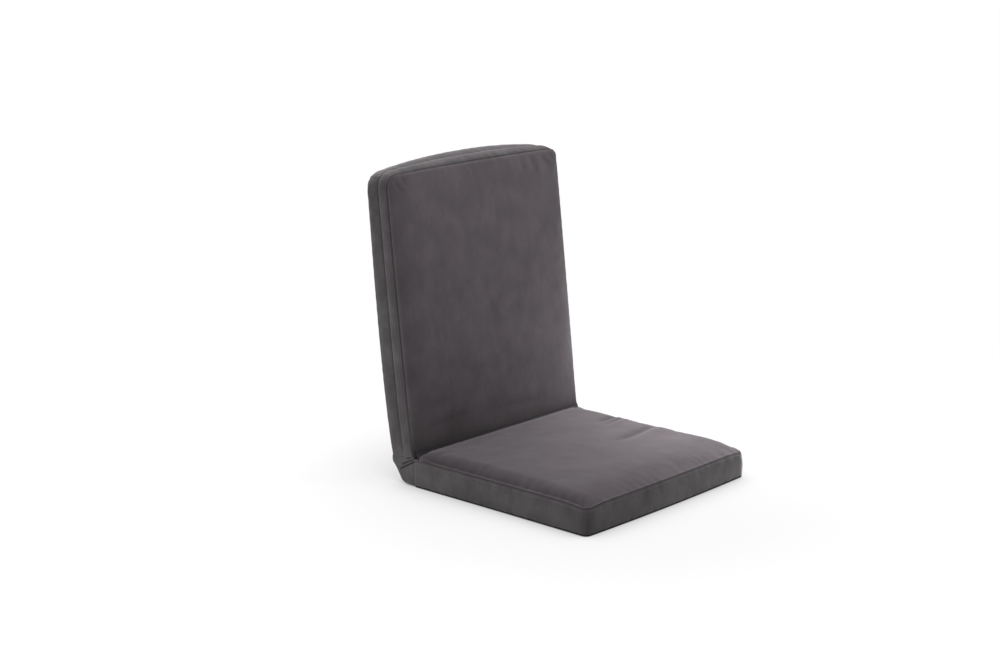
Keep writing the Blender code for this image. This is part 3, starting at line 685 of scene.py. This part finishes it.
def face_materials(faces, rows, shade, region, shaded_material):
    """Each face's material: the shaded velvet where a velvet face of the side lies in painted shade, or its
    region's.
    """
    numbers = []
    for face, row in zip(faces, rows):
        number = region(row)
        in_seam = row >= 0 and number < BASE and shade[face].mean() > SEAM_SHADE
        numbers.append(shaded_material if in_seam else number)
    return numbers


def make_pad(pad, creases, gather, materials, region):
    """One pad's whole cover as a closed mesh, and its grid numbers for the seams."""
    xs = spaced(-pad.width / 2, pad.width / 2, CELL, EDGE_CELLS)
    vs = spaced(0.0, pad.length, CELL, EDGE_CELLS)
    grid, faces, rows, number = skin_grid(xs, vs, pad.rows)
    obj = new_object(pad.name, pad_form(pad, grid), faces, materials, [region(row) for row in rows])
    mesh = obj.data
    height = pad_relief(pad, grid, creases, gather)
    set_points(mesh, points_of(mesh) + normals_of(mesh) * height[:, None])

    x, v, z = grid.T
    to_side = pad.width / 2 - abs(x)
    inset = np.minimum(np.minimum(to_side, pad.length - v), v)
    seam = np.min(abs(-z[:, None] - np.array(pad.seams)), axis=1) < SEAM_NEAR
    on_seam = seam & (inset < ON_EDGE)
    rear = -z > pad.depth - ON_EDGE
    cap = SETTLE_MOST * smooth((v - SETTLE_START) / SETTLE_FADE)
    settle(obj, on_seam | rear | (v < HELD_END), cap)

    # Painted shade: in folds by their depth, then the pad's own painted shades, then along its seams
    shade = np.clip(-height / FOLD_DEPTH, 0.0, 1.0) * FOLD_SHADE
    if pad.shades:
        shade = shade + pad.shades(pad, x, v, -z)
    shade = np.where(on_seam & (v > SEAM_START), SEAM_DARK, shade)
    set_shade(mesh, shade)
    if len(materials) > 1:
        numbers = face_materials(faces, rows, shade, region, len(materials) - 1)
        mesh.polygons.foreach_set("material_index", numbers)
    refine(obj)
    points = points_of(obj.data)
    place = np.array(pad.place)
    set_points(obj.data, points @ place[:3, :3].T + place[:3, 3])
    return obj, xs, vs, number


def free_edge(xs, vs, row, number):
    """The grid points along a row of the boxing: up one side, across the free end, down the other."""
    end_i, end_j = len(xs) - 1, len(vs) - 1
    up = [number[0, j, row] for j in range(end_j)]
    across = [number[i, end_j, row] for i in range(end_i)]
    down = [number[end_i, j, row] for j in range(end_j, -1, -1)]
    return up + across + down


def sew(name, obj, line, pitch):
    """A row of stitches along points of a pad, each a short thread lying on the cloth."""
    points = points_of(obj.data)[line]
    normals = normals_of(obj.data)[line]
    steps = np.linalg.norm(np.diff(points, axis=0), axis=1)
    run = np.concatenate([[0.0], np.cumsum(steps)])
    verts = []
    faces = []
    half = pitch * STITCH_HALF
    corners_of_ring = range(STITCH_SIDES)
    for middle in np.arange(pitch, run[-1] - pitch, pitch):
        place = np.array([np.interp(middle, run, points[:, k]) for k in range(3)])
        ahead = np.array([np.interp(middle + half, run, points[:, k]) for k in range(3)])
        up = np.array([np.interp(middle, run, normals[:, k]) for k in range(3)])
        up = up / np.linalg.norm(up)
        along = (ahead - place) / np.linalg.norm(ahead - place)
        side = np.cross(along, up)
        base = len(verts)
        for shift, size in STITCH_RINGS:
            rise = STITCH_RISE - STITCH_SINK * (abs(shift) == 1.0)
            centre = place + along * half * shift + up * rise
            for k in corners_of_ring:
                angle = k * math.pi / 3
                verts.append(centre + size * STITCH_THICK * (side * math.cos(angle) + up * math.sin(angle)))
        last = base + STITCH_SIDES * (len(STITCH_RINGS) - 1)
        for ring in range(base, last, STITCH_SIDES):
            for k in corners_of_ring:
                a, b = ring + k, ring + (k + 1) % STITCH_SIDES
                faces.append((a, a + STITCH_SIDES, b + STITCH_SIDES, b))
        faces.append(tuple(base + k for k in corners_of_ring))
        faces.append(tuple(last + k for k in reversed(corners_of_ring)))
    return new_object(name, verts, faces, [material("Thread", thread_fibre)])


def cover_radius(angles):
    """Distance of the hinge cover's outer line from the axis, in the directions given."""
    line = np.array(COVER_LINE)
    for _ in range(2):
        line = np.concatenate([line[:1], *[
            [a * 0.75 + b * 0.25, a * 0.25 + b * 0.75] for a, b in zip(line, line[1:])
        ], line[-1:]])
    turn = np.arctan2(line[:, 1], line[:, 0])
    return np.interp(angles, turn, np.hypot(line[:, 0], line[:, 1]))


def fold_height(fold, y, z):
    """The height of one fold or roll of the gusset at a place from the axis."""
    fall, at, width, height, reach = fold
    below = -y * math.sin(math.radians(fall)) - z * math.cos(math.radians(fall))
    return height * bell(below - at, width) * smooth((reach - np.hypot(y, z)) / FOLD_FADE)


def gusset_relief(y, z):
    """How far the side gusset stands out at a place from the axis: its folds and the roll between."""
    out = fold_height(GUSSET_ROLL, y, z)
    for fold in GUSSET_FOLDS:
        out = out - fold_height(fold, y, z)
    seam = 0.0011 * bell(y - 0.003, 0.0013) * smooth((-z - 0.008) / 0.006)
    return out * smooth((y + 0.004) / 0.008) - seam


def hinge_cover_points(width):
    """The cloth round the hinge as a grid: out along one gusset, across behind, in along the other."""
    rows, side_steps, arc_steps, across_steps = 44, 28, 5, 76
    edge = 0.004
    start, outer = 0.0015, 0.0600
    low, high = -math.pi / 2, -RECLINE
    grid = []
    shade = []
    for row in range(rows + 1):
        share = row / rows
        tuck = math.asin(TUCK / outer)
        limit = cover_radius(low - tuck + (high - low + 2 * tuck) * share)
        path = []
        for k in range(side_steps + 1):
            path.append((start + (limit - edge - start) * k / side_steps, width / 2, 1.0))
        for k in range(1, arc_steps + 1):
            turn = k / arc_steps * math.pi / 2
            path.append((limit - edge + edge * math.sin(turn), width / 2 - edge * (1 - math.cos(turn)), 0.0))
        half = list(path)
        for k in range(1, across_steps):
            path.append((limit, (width / 2 - edge) * (1 - 2 * k / across_steps), 0.0))
        path += [(r, -x, on_side) for r, x, on_side in reversed(half)]
        line = []
        dark = []
        for r, x, on_side in path:
            tuck = math.asin(min(TUCK / r, math.sin(math.radians(85.0))))
            turn = low - tuck + (high - low + 2 * tuck) * share
            y, z = r * math.cos(turn), r * math.sin(turn)
            relief = gusset_relief(y, z)
            tucked = smooth(np.maximum(-y, z + y * math.tan(RECLINE)) / TUCK_FADE)
            out = on_side * (relief + GUSSET_PROUD - TUCK_SINK * tucked) - CLOTH_INSET
            ripple = RIPPLE * noise.noise(Vector((x * 26.0, turn * 2.2, 4.0))) * (1.0 - on_side)
            r = r + min(ripple, RIPPLE_OUT)
            line.append((math.copysign(abs(x) + out, x), AXIS.y + r * math.cos(turn),
                         max(AXIS.z + r * math.sin(turn), FLOOR_CLEAR)))
            # Painted shade in the gusset's folds
            dark.append(float(np.clip(-relief / GUSSET_DARK_DEPTH, 0.0, 1.0)) * on_side)
        grid.append(line)
        shade += dark
    return grid, shade


def ribbon(name, grid, thickness, cloth, shade):
    """A sheet of cloth from rows of points, with its thickness laid inwards."""
    count = len(grid[0])
    points = [point for row in grid for point in row]
    faces = []
    for j in range(len(grid) - 1):
        for i in range(count - 1):
            a = j * count + i
            faces.append((a, a + 1, a + count + 1, a + count))
    obj = new_object(name, points, faces, [cloth])
    set_shade(obj.data, np.array(shade))
    modifier = obj.modifiers.new("Thickness", "SOLIDIFY")
    modifier.thickness = thickness
    modifier.offset = -1.0
    apply_modifiers(obj)
    refine(obj)
    return obj


# Materials


class Nodes:
    """A material's shader nodes, made and joined in short lines."""

    def __init__(self, name):
        self.material = bpy.data.materials.new(name)
        self.material.use_nodes = True
        self.tree = self.material.node_tree
        self.shader = self.tree.nodes["Principled BSDF"]
        self.place = self.add("ShaderNodeTexCoord").outputs["Object"]

    def add(self, kind, **values):
        node = self.tree.nodes.new(kind)
        for key, value in values.items():
            setattr(node, key, value)
        return node

    def join(self, source, target):
        self.tree.links.new(source, target)

    def noise(self, scale, detail, roughness=0.5, stretch=(1.0, 1.0, 1.0)):
        """Noise from 0 to 1 over the object's own coordinates."""
        mapping = self.add("ShaderNodeMapping")
        mapping.inputs["Scale"].default_value = stretch
        self.join(self.place, mapping.inputs["Vector"])
        node = self.add("ShaderNodeTexNoise")
        node.inputs["Scale"].default_value = scale
        node.inputs["Detail"].default_value = detail
        node.inputs["Roughness"].default_value = roughness
        self.join(mapping.outputs["Vector"], node.inputs["Vector"])
        return node.outputs["Fac"]

    def spread(self, value, low, high, to_low=0.0, to_high=1.0):
        """Maps low..high to to_low..to_high, smoothly."""
        node = self.add("ShaderNodeMapRange", interpolation_type="SMOOTHSTEP")
        node.inputs["From Min"].default_value = low
        node.inputs["From Max"].default_value = high
        node.inputs["To Min"].default_value = to_low
        node.inputs["To Max"].default_value = to_high
        self.join(value, node.inputs["Value"])
        return node.outputs["Result"]

    def math(self, operation, first, second):
        node = self.add("ShaderNodeMath", operation=operation)
        for value, socket in zip((first, second), node.inputs):
            if isinstance(value, float):
                socket.default_value = value
            else:
                self.join(value, socket)
        return node.outputs["Value"]

    def mix(self, factor, first, second):
        """Mixes two colours, each a socket or three numbers."""
        node = self.add("ShaderNodeMix", data_type="RGBA")
        self.join(factor, node.inputs["Factor"])
        for value, socket in ((first, node.inputs[6]), (second, node.inputs[7])):
            if isinstance(value, bpy.types.NodeSocket):
                self.join(value, socket)
            else:
                socket.default_value = (*value, 1.0)
        return node.outputs[2]

    def bump(self, height, strength, distance, below=None):
        node = self.add("ShaderNodeBump")
        node.inputs["Strength"].default_value = strength
        node.inputs["Distance"].default_value = distance
        self.join(height, node.inputs["Height"])
        if below is not None:
            self.join(below, node.inputs["Normal"])
        return node.outputs["Normal"]

    def finish(self, colour, normal, **values):
        """Joins the colour and the normal, and joins or sets each other value of the shader."""
        self.join(colour, self.shader.inputs["Base Color"])
        self.join(normal, self.shader.inputs["Normal"])
        for name, value in values.items():
            socket = self.shader.inputs[name.replace("_", " ").title().replace("Ior", "IOR")]
            if isinstance(value, bpy.types.NodeSocket):
                self.join(value, socket)
            else:
                socket.default_value = value
        return self.material


def seen_ray(tree):
    """One for a ray that shows its target: straight to the camera, by reflection or through glass."""
    path = tree.nodes.new("ShaderNodeLightPath")
    total = path.outputs["Is Camera Ray"]
    for other in ("Is Glossy Ray", "Is Transmission Ray"):
        node = tree.nodes.new("ShaderNodeMath")
        node.use_clamp = True
        tree.links.new(total, node.inputs[0])
        tree.links.new(path.outputs[other], node.inputs[1])
        total = node.outputs["Value"]
    return total


def material(name, make):
    """The material of that name, made the first time it is asked for."""
    found = bpy.data.materials.get(name)
    return found or make(name, bpy.context.scene.chair_colours)


def tint(colour, share):
    return tuple(share * c for c in colour)


def velvet(name, colours, cast=(1.0, 1.0, 1.0), sheen=0.42, blotch=0.0):
    """Short pile: clouds where it was brushed, streaks along it, fine nap, and painted shade in seams, folds,
    rolls and the crease.
    """
    nodes = Nodes(name)
    clouds = nodes.noise(16.0, 5.0, 0.62)
    brushed = nodes.noise(46.0, 4.0, 0.6, (1.0, 1.0, 0.45))
    both = nodes.math("ADD", nodes.math("MULTIPLY", clouds, 0.62), nodes.math("MULTIPLY", brushed, 0.38))
    share = nodes.spread(both, 0.28, 0.72)
    dark = tuple((1.0 - blotch) * k * c for k, c in zip(cast, colours.velvet_dark))
    light = tuple((1.0 + blotch) * k * c for k, c in zip(cast, colours.velvet_light))
    colour = nodes.mix(share, dark, light)
    speck = nodes.spread(nodes.noise(900.0, 2.0), 0.30, 0.70)
    colour = nodes.mix(nodes.math("MULTIPLY", speck, 0.22), colour, tint(light, 1.5))
    # Painted shade: the mesh's shade attribute darkens the colour towards a near-black copy of the deep
    # velvet
    shade = nodes.add("ShaderNodeAttribute", attribute_name="shade").outputs["Fac"]
    colour = nodes.mix(nodes.math("MULTIPLY", shade, 0.82), colour, tint(dark, 0.16))
    nap = nodes.bump(nodes.noise(120.0, 3.0, 0.6), 0.22, 0.0016)
    pile = nodes.bump(nodes.noise(1100.0, 2.0), 0.35, 0.0005, nap)
    return nodes.finish(
        colour, pile, roughness=nodes.spread(both, 0.28, 0.72, 0.97, 0.84), specular_ior_level=0.12,
        sheen_weight=sheen, sheen_roughness=0.42, sheen_tint=(0.81, 0.765, 0.80, 1.0),
    )


def boxing_velvet(name, colours):
    """The same velvet cut across the pile, a little deeper and greyer."""
    return velvet(name, colours, (0.89, 0.95, 0.915), blotch=0.14)


def shaded_seam_velvet(name, colours):
    """A darker copy of the velvet with almost no sheen, for seams and the crease strip that lie in painted
    shade.
    """
    return velvet(name, colours, (0.91, 0.97, 0.935), sheen=0.05)


def base_fabric(name, colours):
    """Close-pressed fibre under the seat."""
    nodes = Nodes(name)
    fibre = nodes.noise(340.0, 4.0, 0.7, (1.0, 0.35, 1.0))
    plain = colours.base_fabric
    colour = nodes.mix(nodes.spread(fibre, 0.3, 0.7), tint(plain, 1.0), tint(plain, 2.2))
    return nodes.finish(
        colour, nodes.bump(fibre, 0.5, 0.0006), roughness=nodes.spread(fibre, 0.3, 0.7, 1.0, 0.86),
        specular_ior_level=0.15,
    )


def grip_rubber(name, colours):
    """Soft rubber with dust on it."""
    nodes = Nodes(name)
    dust = nodes.noise(420.0, 3.0)
    colour = nodes.mix(nodes.spread(dust, 0.4, 0.8), tint(colours.grip, 1.0), tint(colours.grip, 1.8))
    return nodes.finish(
        colour, nodes.bump(dust, 0.2, 0.0002), roughness=nodes.spread(dust, 0.4, 0.8, 0.54, 0.74),
        specular_ior_level=0.4,
    )


def thread_fibre(name, colours):
    """Twisted sewing thread."""
    nodes = Nodes(name)
    twist = nodes.noise(2400.0, 2.0)
    colour = nodes.mix(twist, tint(colours.thread, 0.75), tint(colours.thread, 1.2))
    return nodes.finish(
        colour, nodes.bump(twist, 0.4, 0.0002), roughness=nodes.spread(twist, 0.3, 0.7, 0.78, 0.62),
        specular_ior_level=0.3,
    )


def webbing_weave(name, colours):
    """Woven elastic: ribs along the strap."""
    nodes = Nodes(name)
    wave = nodes.add("ShaderNodeTexWave", bands_direction="Y")
    wave.inputs["Scale"].default_value = 170.0
    wave.inputs["Distortion"].default_value = 0.6
    nodes.join(nodes.place, wave.inputs["Vector"])
    ribs = wave.outputs["Fac"]
    colour = nodes.mix(ribs, tint(colours.webbing, 0.7), tint(colours.webbing, 1.7))
    return nodes.finish(
        colour, nodes.bump(ribs, 0.6, 0.0005), roughness=nodes.spread(ribs, 0.0, 1.0, 0.88, 0.72),
        specular_ior_level=0.25,
    )


def coated_steel(name, colours):
    """Black powder coat, with its fine orange peel."""
    nodes = Nodes(name)
    peel = nodes.noise(700.0, 3.0)
    colour = nodes.mix(peel, tint(colours.steel, 0.8), tint(colours.steel, 1.4))
    return nodes.finish(
        colour, nodes.bump(peel, 0.18, 0.0003), roughness=nodes.spread(peel, 0.3, 0.7, 0.58, 0.42),
        specular_ior_level=0.5,
    )


def zinc_plate(name, colours):
    """Bright zinc plating with its spangle and rolling lines."""
    nodes = Nodes(name)
    spangle = nodes.noise(130.0, 4.0, 0.6)
    lines = nodes.noise(900.0, 2.0, 0.5, (0.1, 0.1, 1.0))
    share = nodes.spread(spangle, 0.35, 0.65)
    colour = nodes.mix(share, tint(colours.zinc, 0.82), tint(colours.zinc, 1.0))
    return nodes.finish(
        colour, nodes.bump(lines, 0.12, 0.0002), roughness=nodes.spread(spangle, 0.35, 0.65, 0.46, 0.31),
        metallic=1.0,
    )


# Pieces


def own(obj, body, slot, *nodes):
    """Hands a piece over to the frame: the body it rides on and the CAD nodes it stands for, which it hides;
    its finish (slot) is not used.
    """
    if nodes:
        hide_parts(*nodes)
    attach(obj, body)


def seat_of(sizes):
    """The seat's boxing and base, with a shallow bed for the top panel."""
    depth = sizes.seat_depth - 0.0004
    return Pad(
        name="seat_pad", width=sizes.pad_width, length=sizes.seat_length, depth=depth,
        front_roll=0.0030, rear_roll=0.0016, hinge_roll=0.0026, front_corner=sizes.corner_radius * 1.2,
        rear_corner=sizes.corner_radius * 0.8, hinge_corner=0.0025, crown=-0.0035, rear_crown=0.0,
        side_roll=0.050, end_roll=0.110, hinge_rise=0.100, rear_bulge=0.0, arch_front=0.003, arch_rear=0.005,
        tilt=0.0, draw=0.001, swell=0.0020, end_swell=0.0020, seams=(0.0, depth), end_lead=0.0, end_fall=0.0,
        seam_depth=sizes.seam_depth, corner_drop=0.004, lift=SEAT_LIFT, lip=0.0, shades=None, rows=SEAT_ROWS,
        place=SEAT_FRAME, full_hinge=False,
    )


def seat_top_of(sizes):
    """The seat's plump top panel, full up to the crease."""
    radius = sizes.corner_radius * 1.2 - TOP_INSET
    return Pad(
        name="seat_top", width=sizes.pad_width - 2 * TOP_INSET,
        length=sizes.seat_length - TOP_INSET - TOP_BEFORE_HINGE, depth=-TOP_ROWS[-1], front_roll=0.0012,
        rear_roll=0.0010, hinge_roll=0.0010, front_corner=radius, rear_corner=radius, hinge_corner=0.006,
        crown=sizes.seat_crown, rear_crown=0.0, side_roll=0.038, end_roll=0.100, hinge_rise=0.007,
        rear_bulge=0.0, arch_front=0.003, arch_rear=0.003, tilt=0.0, draw=0.001, swell=0.0, end_swell=0.0,
        seams=(0.0,), end_lead=0.0, end_fall=0.0, seam_depth=sizes.seam_depth, corner_drop=0.004,
        lift=SEAT_LIFT, lip=0.0012, shades=roll_shade, rows=TOP_ROWS,
        place=SEAT_FRAME @ Matrix.Translation((0.0, TOP_BEFORE_HINGE, 0.0)), full_hinge=True,
    )


def back_of(sizes):
    """The whole back: front panel, narrow and wide boxing, arched top and rear panel."""
    return Pad(
        name="back_pad", width=sizes.pad_width, length=sizes.back_length, depth=sizes.back_depth,
        front_roll=0.0048, rear_roll=0.0022, hinge_roll=0.003, front_corner=sizes.corner_radius * 1.15,
        rear_corner=sizes.corner_radius * 1.8, hinge_corner=0.0025, crown=sizes.back_crown, rear_crown=0.001,
        side_roll=0.080, end_roll=0.110, hinge_rise=0.150, rear_bulge=0.0075, arch_front=0.001,
        arch_rear=sizes.top_arch, tilt=0.009, draw=-0.001, swell=0.0024, end_swell=0.0048,
        seams=BACK_SEAMS, end_lead=0.0060, end_fall=0.0060, seam_depth=sizes.seam_depth * 1.25,
        corner_drop=0.0, lift=0.0, lip=0.0, shades=crease_shade, rows=BACK_ROWS, place=BACK_FRAME,
        full_hinge=False,
    )


class CHAIR_OT_seat_pad(bpy.types.Operator):
    """Makes the seat: velvet boxing on base fabric, its stitched seam, and the plump top panel"""

    bl_idname = "chair.seat_pad"
    bl_label = "Seat Pad"

    def execute(self, context):
        sizes = context.scene.chair_sizes
        pad = seat_of(sizes)
        materials = [
            material("Velvet", velvet), material("Velvet boxing", boxing_velvet),
            material("Base fabric", base_fabric), material("Velvet seam", shaded_seam_velvet),
        ]
        base_row = len(SEAT_ROWS) - 2
        obj, xs, vs, number = make_pad(
            pad, (), sizes.gather_height, materials,
            lambda row: {FRONT_ROW: 0, REAR_ROW: BASE, base_row: BASE}.get(row, 1),
        )
        own(obj, "seat", "grey_velvet", "seat_boxing", "seat_base_panel", "seat_lower_foam")
        line = free_edge(xs, vs, SEAT_STITCH_ROW, number)
        stitches = sew("seat_stitches", obj, line, sizes.stitch_pitch)
        own(stitches, "seat", "grey_velvet")

        top, *_ = make_pad(
            seat_top_of(sizes), SEAT_CREASES, 1.4 * sizes.gather_height, materials[:1], lambda row: 0
        )
        own(top, "seat", "grey_velvet", "seat_top_panel", "seat_upper_foam")
        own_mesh(top)
        return {"FINISHED"}


class CHAIR_OT_back_pad(bpy.types.Operator):
    """Makes the back pad: front panel, narrow and wide boxing, rear panel, and its stitched seam"""

    bl_idname = "chair.back_pad"
    bl_label = "Back Pad"

    def execute(self, context):
        sizes = context.scene.chair_sizes
        pad = back_of(sizes)
        first_seam = BACK_ROWS.index(-BACK_SEAMS[0])
        materials = [
            material("Velvet", velvet), material("Velvet boxing", boxing_velvet),
            material("Velvet seam", shaded_seam_velvet),
        ]
        obj, xs, vs, number = make_pad(
            pad, BACK_CREASES, sizes.gather_height, materials,
            lambda row: 1 if row >= first_seam else 0,
        )
        own(obj, "backrest", "grey_velvet", "back_front_panel", "back_front_boxing", "back_rear_boxing",
            "back_rear_panel", "back_front_foam", "back_rear_foam")
        line = free_edge(xs, vs, BACK_STITCH_ROW, number)
        stitches = sew("back_stitches", obj, line, sizes.stitch_pitch)
        own(stitches, "backrest", "grey_velvet")
        return {"FINISHED"}


class CHAIR_OT_hinge_fabric(bpy.types.Operator):
    """Makes the velvet round the hinge: the cover behind with its side gussets, and the crease strip"""

    bl_idname = "chair.hinge_fabric"
    bl_label = "Hinge Fabric"

    def execute(self, context):
        width = context.scene.chair_sizes.pad_width
        cloth = material("Velvet boxing", boxing_velvet)
        grid, shade = hinge_cover_points(width)
        cover = ribbon("hinge_cover_cloth", grid, COVER_THICKNESS, cloth, shade)
        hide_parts("hinge_cover", "hinge_gusset_left", "hinge_gusset_right")
        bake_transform(cover)

        line = np.array(CREASE_LINE)
        columns = np.linspace(-width / 2 + STRIP_INSET, width / 2 - STRIP_INSET, STRIP_COLUMNS)
        grid = [[(x, AXIS.y + y, AXIS.z + z) for x in columns] for y, z in line]
        # The strip takes its painted shade row by row, and the shaded velvet
        shade = [dark for dark in CREASE_SHADE for _ in columns]
        pressed = material("Velvet seam", shaded_seam_velvet)
        strip = ribbon("crease_strip_cloth", grid, STRIP_THICKNESS, pressed, shade)
        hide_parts("crease_strip")
        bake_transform(strip)
        return {"FINISHED"}


class CHAIR_OT_base_grip(bpy.types.Operator):
    """Makes the rubber dots that keep the seat from sliding"""

    bl_idname = "chair.base_grip"
    bl_label = "Base Grip"

    def execute(self, context):
        sizes = context.scene.chair_sizes
        shape = bmesh.new()
        side = sizes.pad_width / 2 - GRIP_BORDER
        along = spaced(GRIP_BORDER, sizes.seat_length - GRIP_BORDER, sizes.grip_pitch, (0.0,))
        for x in spaced(-side, side, sizes.grip_pitch, (0.0,)):
            for v in along:
                place = Matrix.Translation((x, AXIS.y - END_GAP - v, GRIP_HEIGHT / 2))
                bmesh.ops.create_cone(
                    shape, cap_ends=True, segments=10, radius1=GRIP_RADIUS * 0.7, radius2=GRIP_RADIUS,
                    depth=GRIP_HEIGHT, matrix=place,
                )
        mesh = bpy.data.meshes.new("base_grip")
        shape.to_mesh(mesh)
        shape.free()
        mesh.materials.append(material("Grip rubber", grip_rubber))
        obj = bpy.data.objects.new("base_grip", mesh)
        context.scene.collection.objects.link(obj)
        own(obj, "seat", "black_base_fabric")
        return {"FINISHED"}


class CHAIR_OT_straps(bpy.types.Operator):
    """Makes the elastic straps of the seat and the back from their CAD solids, with woven edges"""

    bl_idname = "chair.straps"
    bl_label = "Straps"

    def execute(self, context):
        weave = material("Webbing", webbing_weave)
        for name in sorted(frame["nodes"]):
            if "_strap_" not in name:
                continue
            mesh = frame["nodes"][name].data.copy()
            mesh.name = f"{name}_web"
            mesh.materials.clear()
            mesh.materials.append(weave)
            strap = bpy.data.objects.new(mesh.name, mesh)
            context.scene.collection.objects.link(strap)
            edge = strap.modifiers.new("Soft edge", "BEVEL")
            edge.width = 0.0004
            edge.segments = 2
            apply_modifiers(strap)
            body, tube = ("seat", "seat_frame_tube") if "seat" in name else ("backrest", "back_frame_tube")
            own(strap, body, "black_webbing", name)
        return {"FINISHED"}


class CHAIR_OT_frame_finish(bpy.types.Operator):
    """Gives the steel frame, the ratchet hinges and their rivets their coated and plated finish"""

    bl_idname = "chair.frame_finish"
    bl_label = "Frame Finish"

    def execute(self, context):
        coat, zinc = material("Coated steel", coated_steel), material("Zinc plate", zinc_plate)
        for name, node in frame["nodes"].items():
            metal = name.endswith("_tube") or name.startswith(("hinge_left_", "hinge_right_"))
            if not metal:
                continue
            dark = name.endswith(("_tube", "_pawl", "_pawl_pin", "_pawl_spring"))
            for slot in node.material_slots:
                slot.material = coat if dark else zinc
        return {"FINISHED"}


class CHAIR_OT_stage(bpy.types.Operator):
    """Sets the pale floor, the soft studio light and the camera of the photograph"""

    bl_idname = "chair.stage"
    bl_label = "Stage"

    def execute(self, context):
        scene = context.scene
        scene.view_settings.view_transform = "Standard"
        self.floor(scene)
        self.world(scene)
        for lamp in LAMPS:
            self.lamp(scene, lamp)
        camera = bpy.data.objects.new("Camera", bpy.data.cameras.new("Camera"))
        camera.location = CAMERA_PLACE
        camera.rotation_euler = (math.radians(CAMERA_TILT), 0.0, math.radians(CAMERA_TURN))
        camera.data.lens = CAMERA_LENS
        scene.collection.objects.link(camera)
        scene.camera = camera
        return {"FINISHED"}

    def floor(self, scene):
        mesh = bpy.data.meshes.new("floor")
        reach = 40.0
        ends = [(-reach, -reach, 0), (reach, -reach, 0), (reach, reach, 0), (-reach, reach, 0)]
        mesh.from_pydata(ends, [], [(0, 1, 2, 3)])
        nodes = Nodes("Floor")
        nodes.shader.inputs["Base Color"].default_value = (0.88, 0.88, 0.88, 1.0)
        nodes.shader.inputs["Roughness"].default_value = 0.6
        nodes.shader.inputs["Specular IOR Level"].default_value = 0.1
        # Painted shade round the chair: the glow seen by rays is dimmer close by, whiter further off, and
        # darkened by ambient occlusion as a contact shadow
        far = nodes.add("ShaderNodeVectorMath", operation="LENGTH")
        nodes.join(nodes.place, far.inputs["Vector"])
        painted_contact_shadow = nodes.add("ShaderNodeAmbientOcclusion", samples=16)
        painted_contact_shadow.inputs["Distance"].default_value = 0.34
        white = nodes.math(
            "MULTIPLY", nodes.spread(far.outputs["Value"], 0.32, 0.80, 0.975, 1.06),
            nodes.spread(painted_contact_shadow.outputs["AO"], 0.0, 1.0, 0.35, 1.0),
        )
        glow = nodes.add("ShaderNodeEmission")
        nodes.join(white, glow.inputs["Strength"])
        both = nodes.add("ShaderNodeMixShader")
        nodes.join(nodes.math("MULTIPLY", seen_ray(nodes.tree), 0.94), both.inputs["Fac"])
        nodes.join(nodes.shader.outputs["BSDF"], both.inputs[1])
        nodes.join(glow.outputs["Emission"], both.inputs[2])
        nodes.join(both.outputs["Shader"], nodes.tree.nodes["Material Output"].inputs["Surface"])
        mesh.materials.append(nodes.material)
        obj = bpy.data.objects.new("floor", mesh)
        scene.collection.objects.link(obj)

    def world(self, scene):
        world = bpy.data.worlds.new("Studio")
        scene.world = world
        world.use_nodes = True
        tree = world.node_tree
        back = tree.nodes["Background"]
        back.inputs["Color"].default_value = (1.0, 1.0, 1.0, 1.0)
        strength = tree.nodes.new("ShaderNodeMapRange")
        strength.inputs["To Min"].default_value = 0.12
        strength.inputs["To Max"].default_value = 1.0
        tree.links.new(seen_ray(tree), strength.inputs["Value"])
        tree.links.new(strength.outputs["Result"], back.inputs["Strength"])

    def lamp(self, scene, lamp):
        light = bpy.data.lights.new(lamp.name, "AREA")
        light.shape = "DISK"
        light.size = lamp.size
        light.energy = lamp.power
        light.spread = math.radians(lamp.spread)
        obj = bpy.data.objects.new(lamp.name, light)
        obj.location = lamp.place
        obj.rotation_euler = (Vector(lamp.aim) - Vector(lamp.place)).to_track_quat("-Z", "Y").to_euler()
        obj.visible_camera = False
        scene.collection.objects.link(obj)


class CHAIR_PT_pieces(bpy.types.Panel):
    """Lists the pieces of the chair in the sidebar of the 3D view"""

    bl_idname = "CHAIR_PT_pieces"
    bl_label = "Folding Floor Chair"
    bl_space_type = "VIEW_3D"
    bl_region_type = "UI"
    bl_category = "Chair"

    def draw(self, context):
        layout = self.layout
        for settings in (context.scene.chair_sizes, context.scene.chair_colours):
            column = layout.column()
            for name in settings.__annotations__:
                column.prop(settings, name)
        for operator in PIECES:
            layout.operator(operator.bl_idname)


PIECES = (
    CHAIR_OT_seat_pad,
    CHAIR_OT_back_pad,
    CHAIR_OT_hinge_fabric,
    CHAIR_OT_base_grip,
    CHAIR_OT_straps,
    CHAIR_OT_frame_finish,
    CHAIR_OT_stage,
)
CLASSES = (ChairSizes, ChairColours, *PIECES, CHAIR_PT_pieces)


def register():
    for cls in CLASSES:
        bpy.utils.register_class(cls)
    bpy.types.Scene.chair_sizes = PointerProperty(type=ChairSizes)
    bpy.types.Scene.chair_colours = PointerProperty(type=ChairColours)


def unregister():
    del bpy.types.Scene.chair_colours
    del bpy.types.Scene.chair_sizes
    for cls in reversed(CLASSES):
        bpy.utils.unregister_class(cls)


def corners(box):
    return [list(corner) for corner in box]


def main():
    register()
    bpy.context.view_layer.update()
    for operator in PIECES:
        group, name = operator.bl_idname.split(".")
        getattr(getattr(bpy.ops, group), name)()


if __name__ == "__main__":
    main()
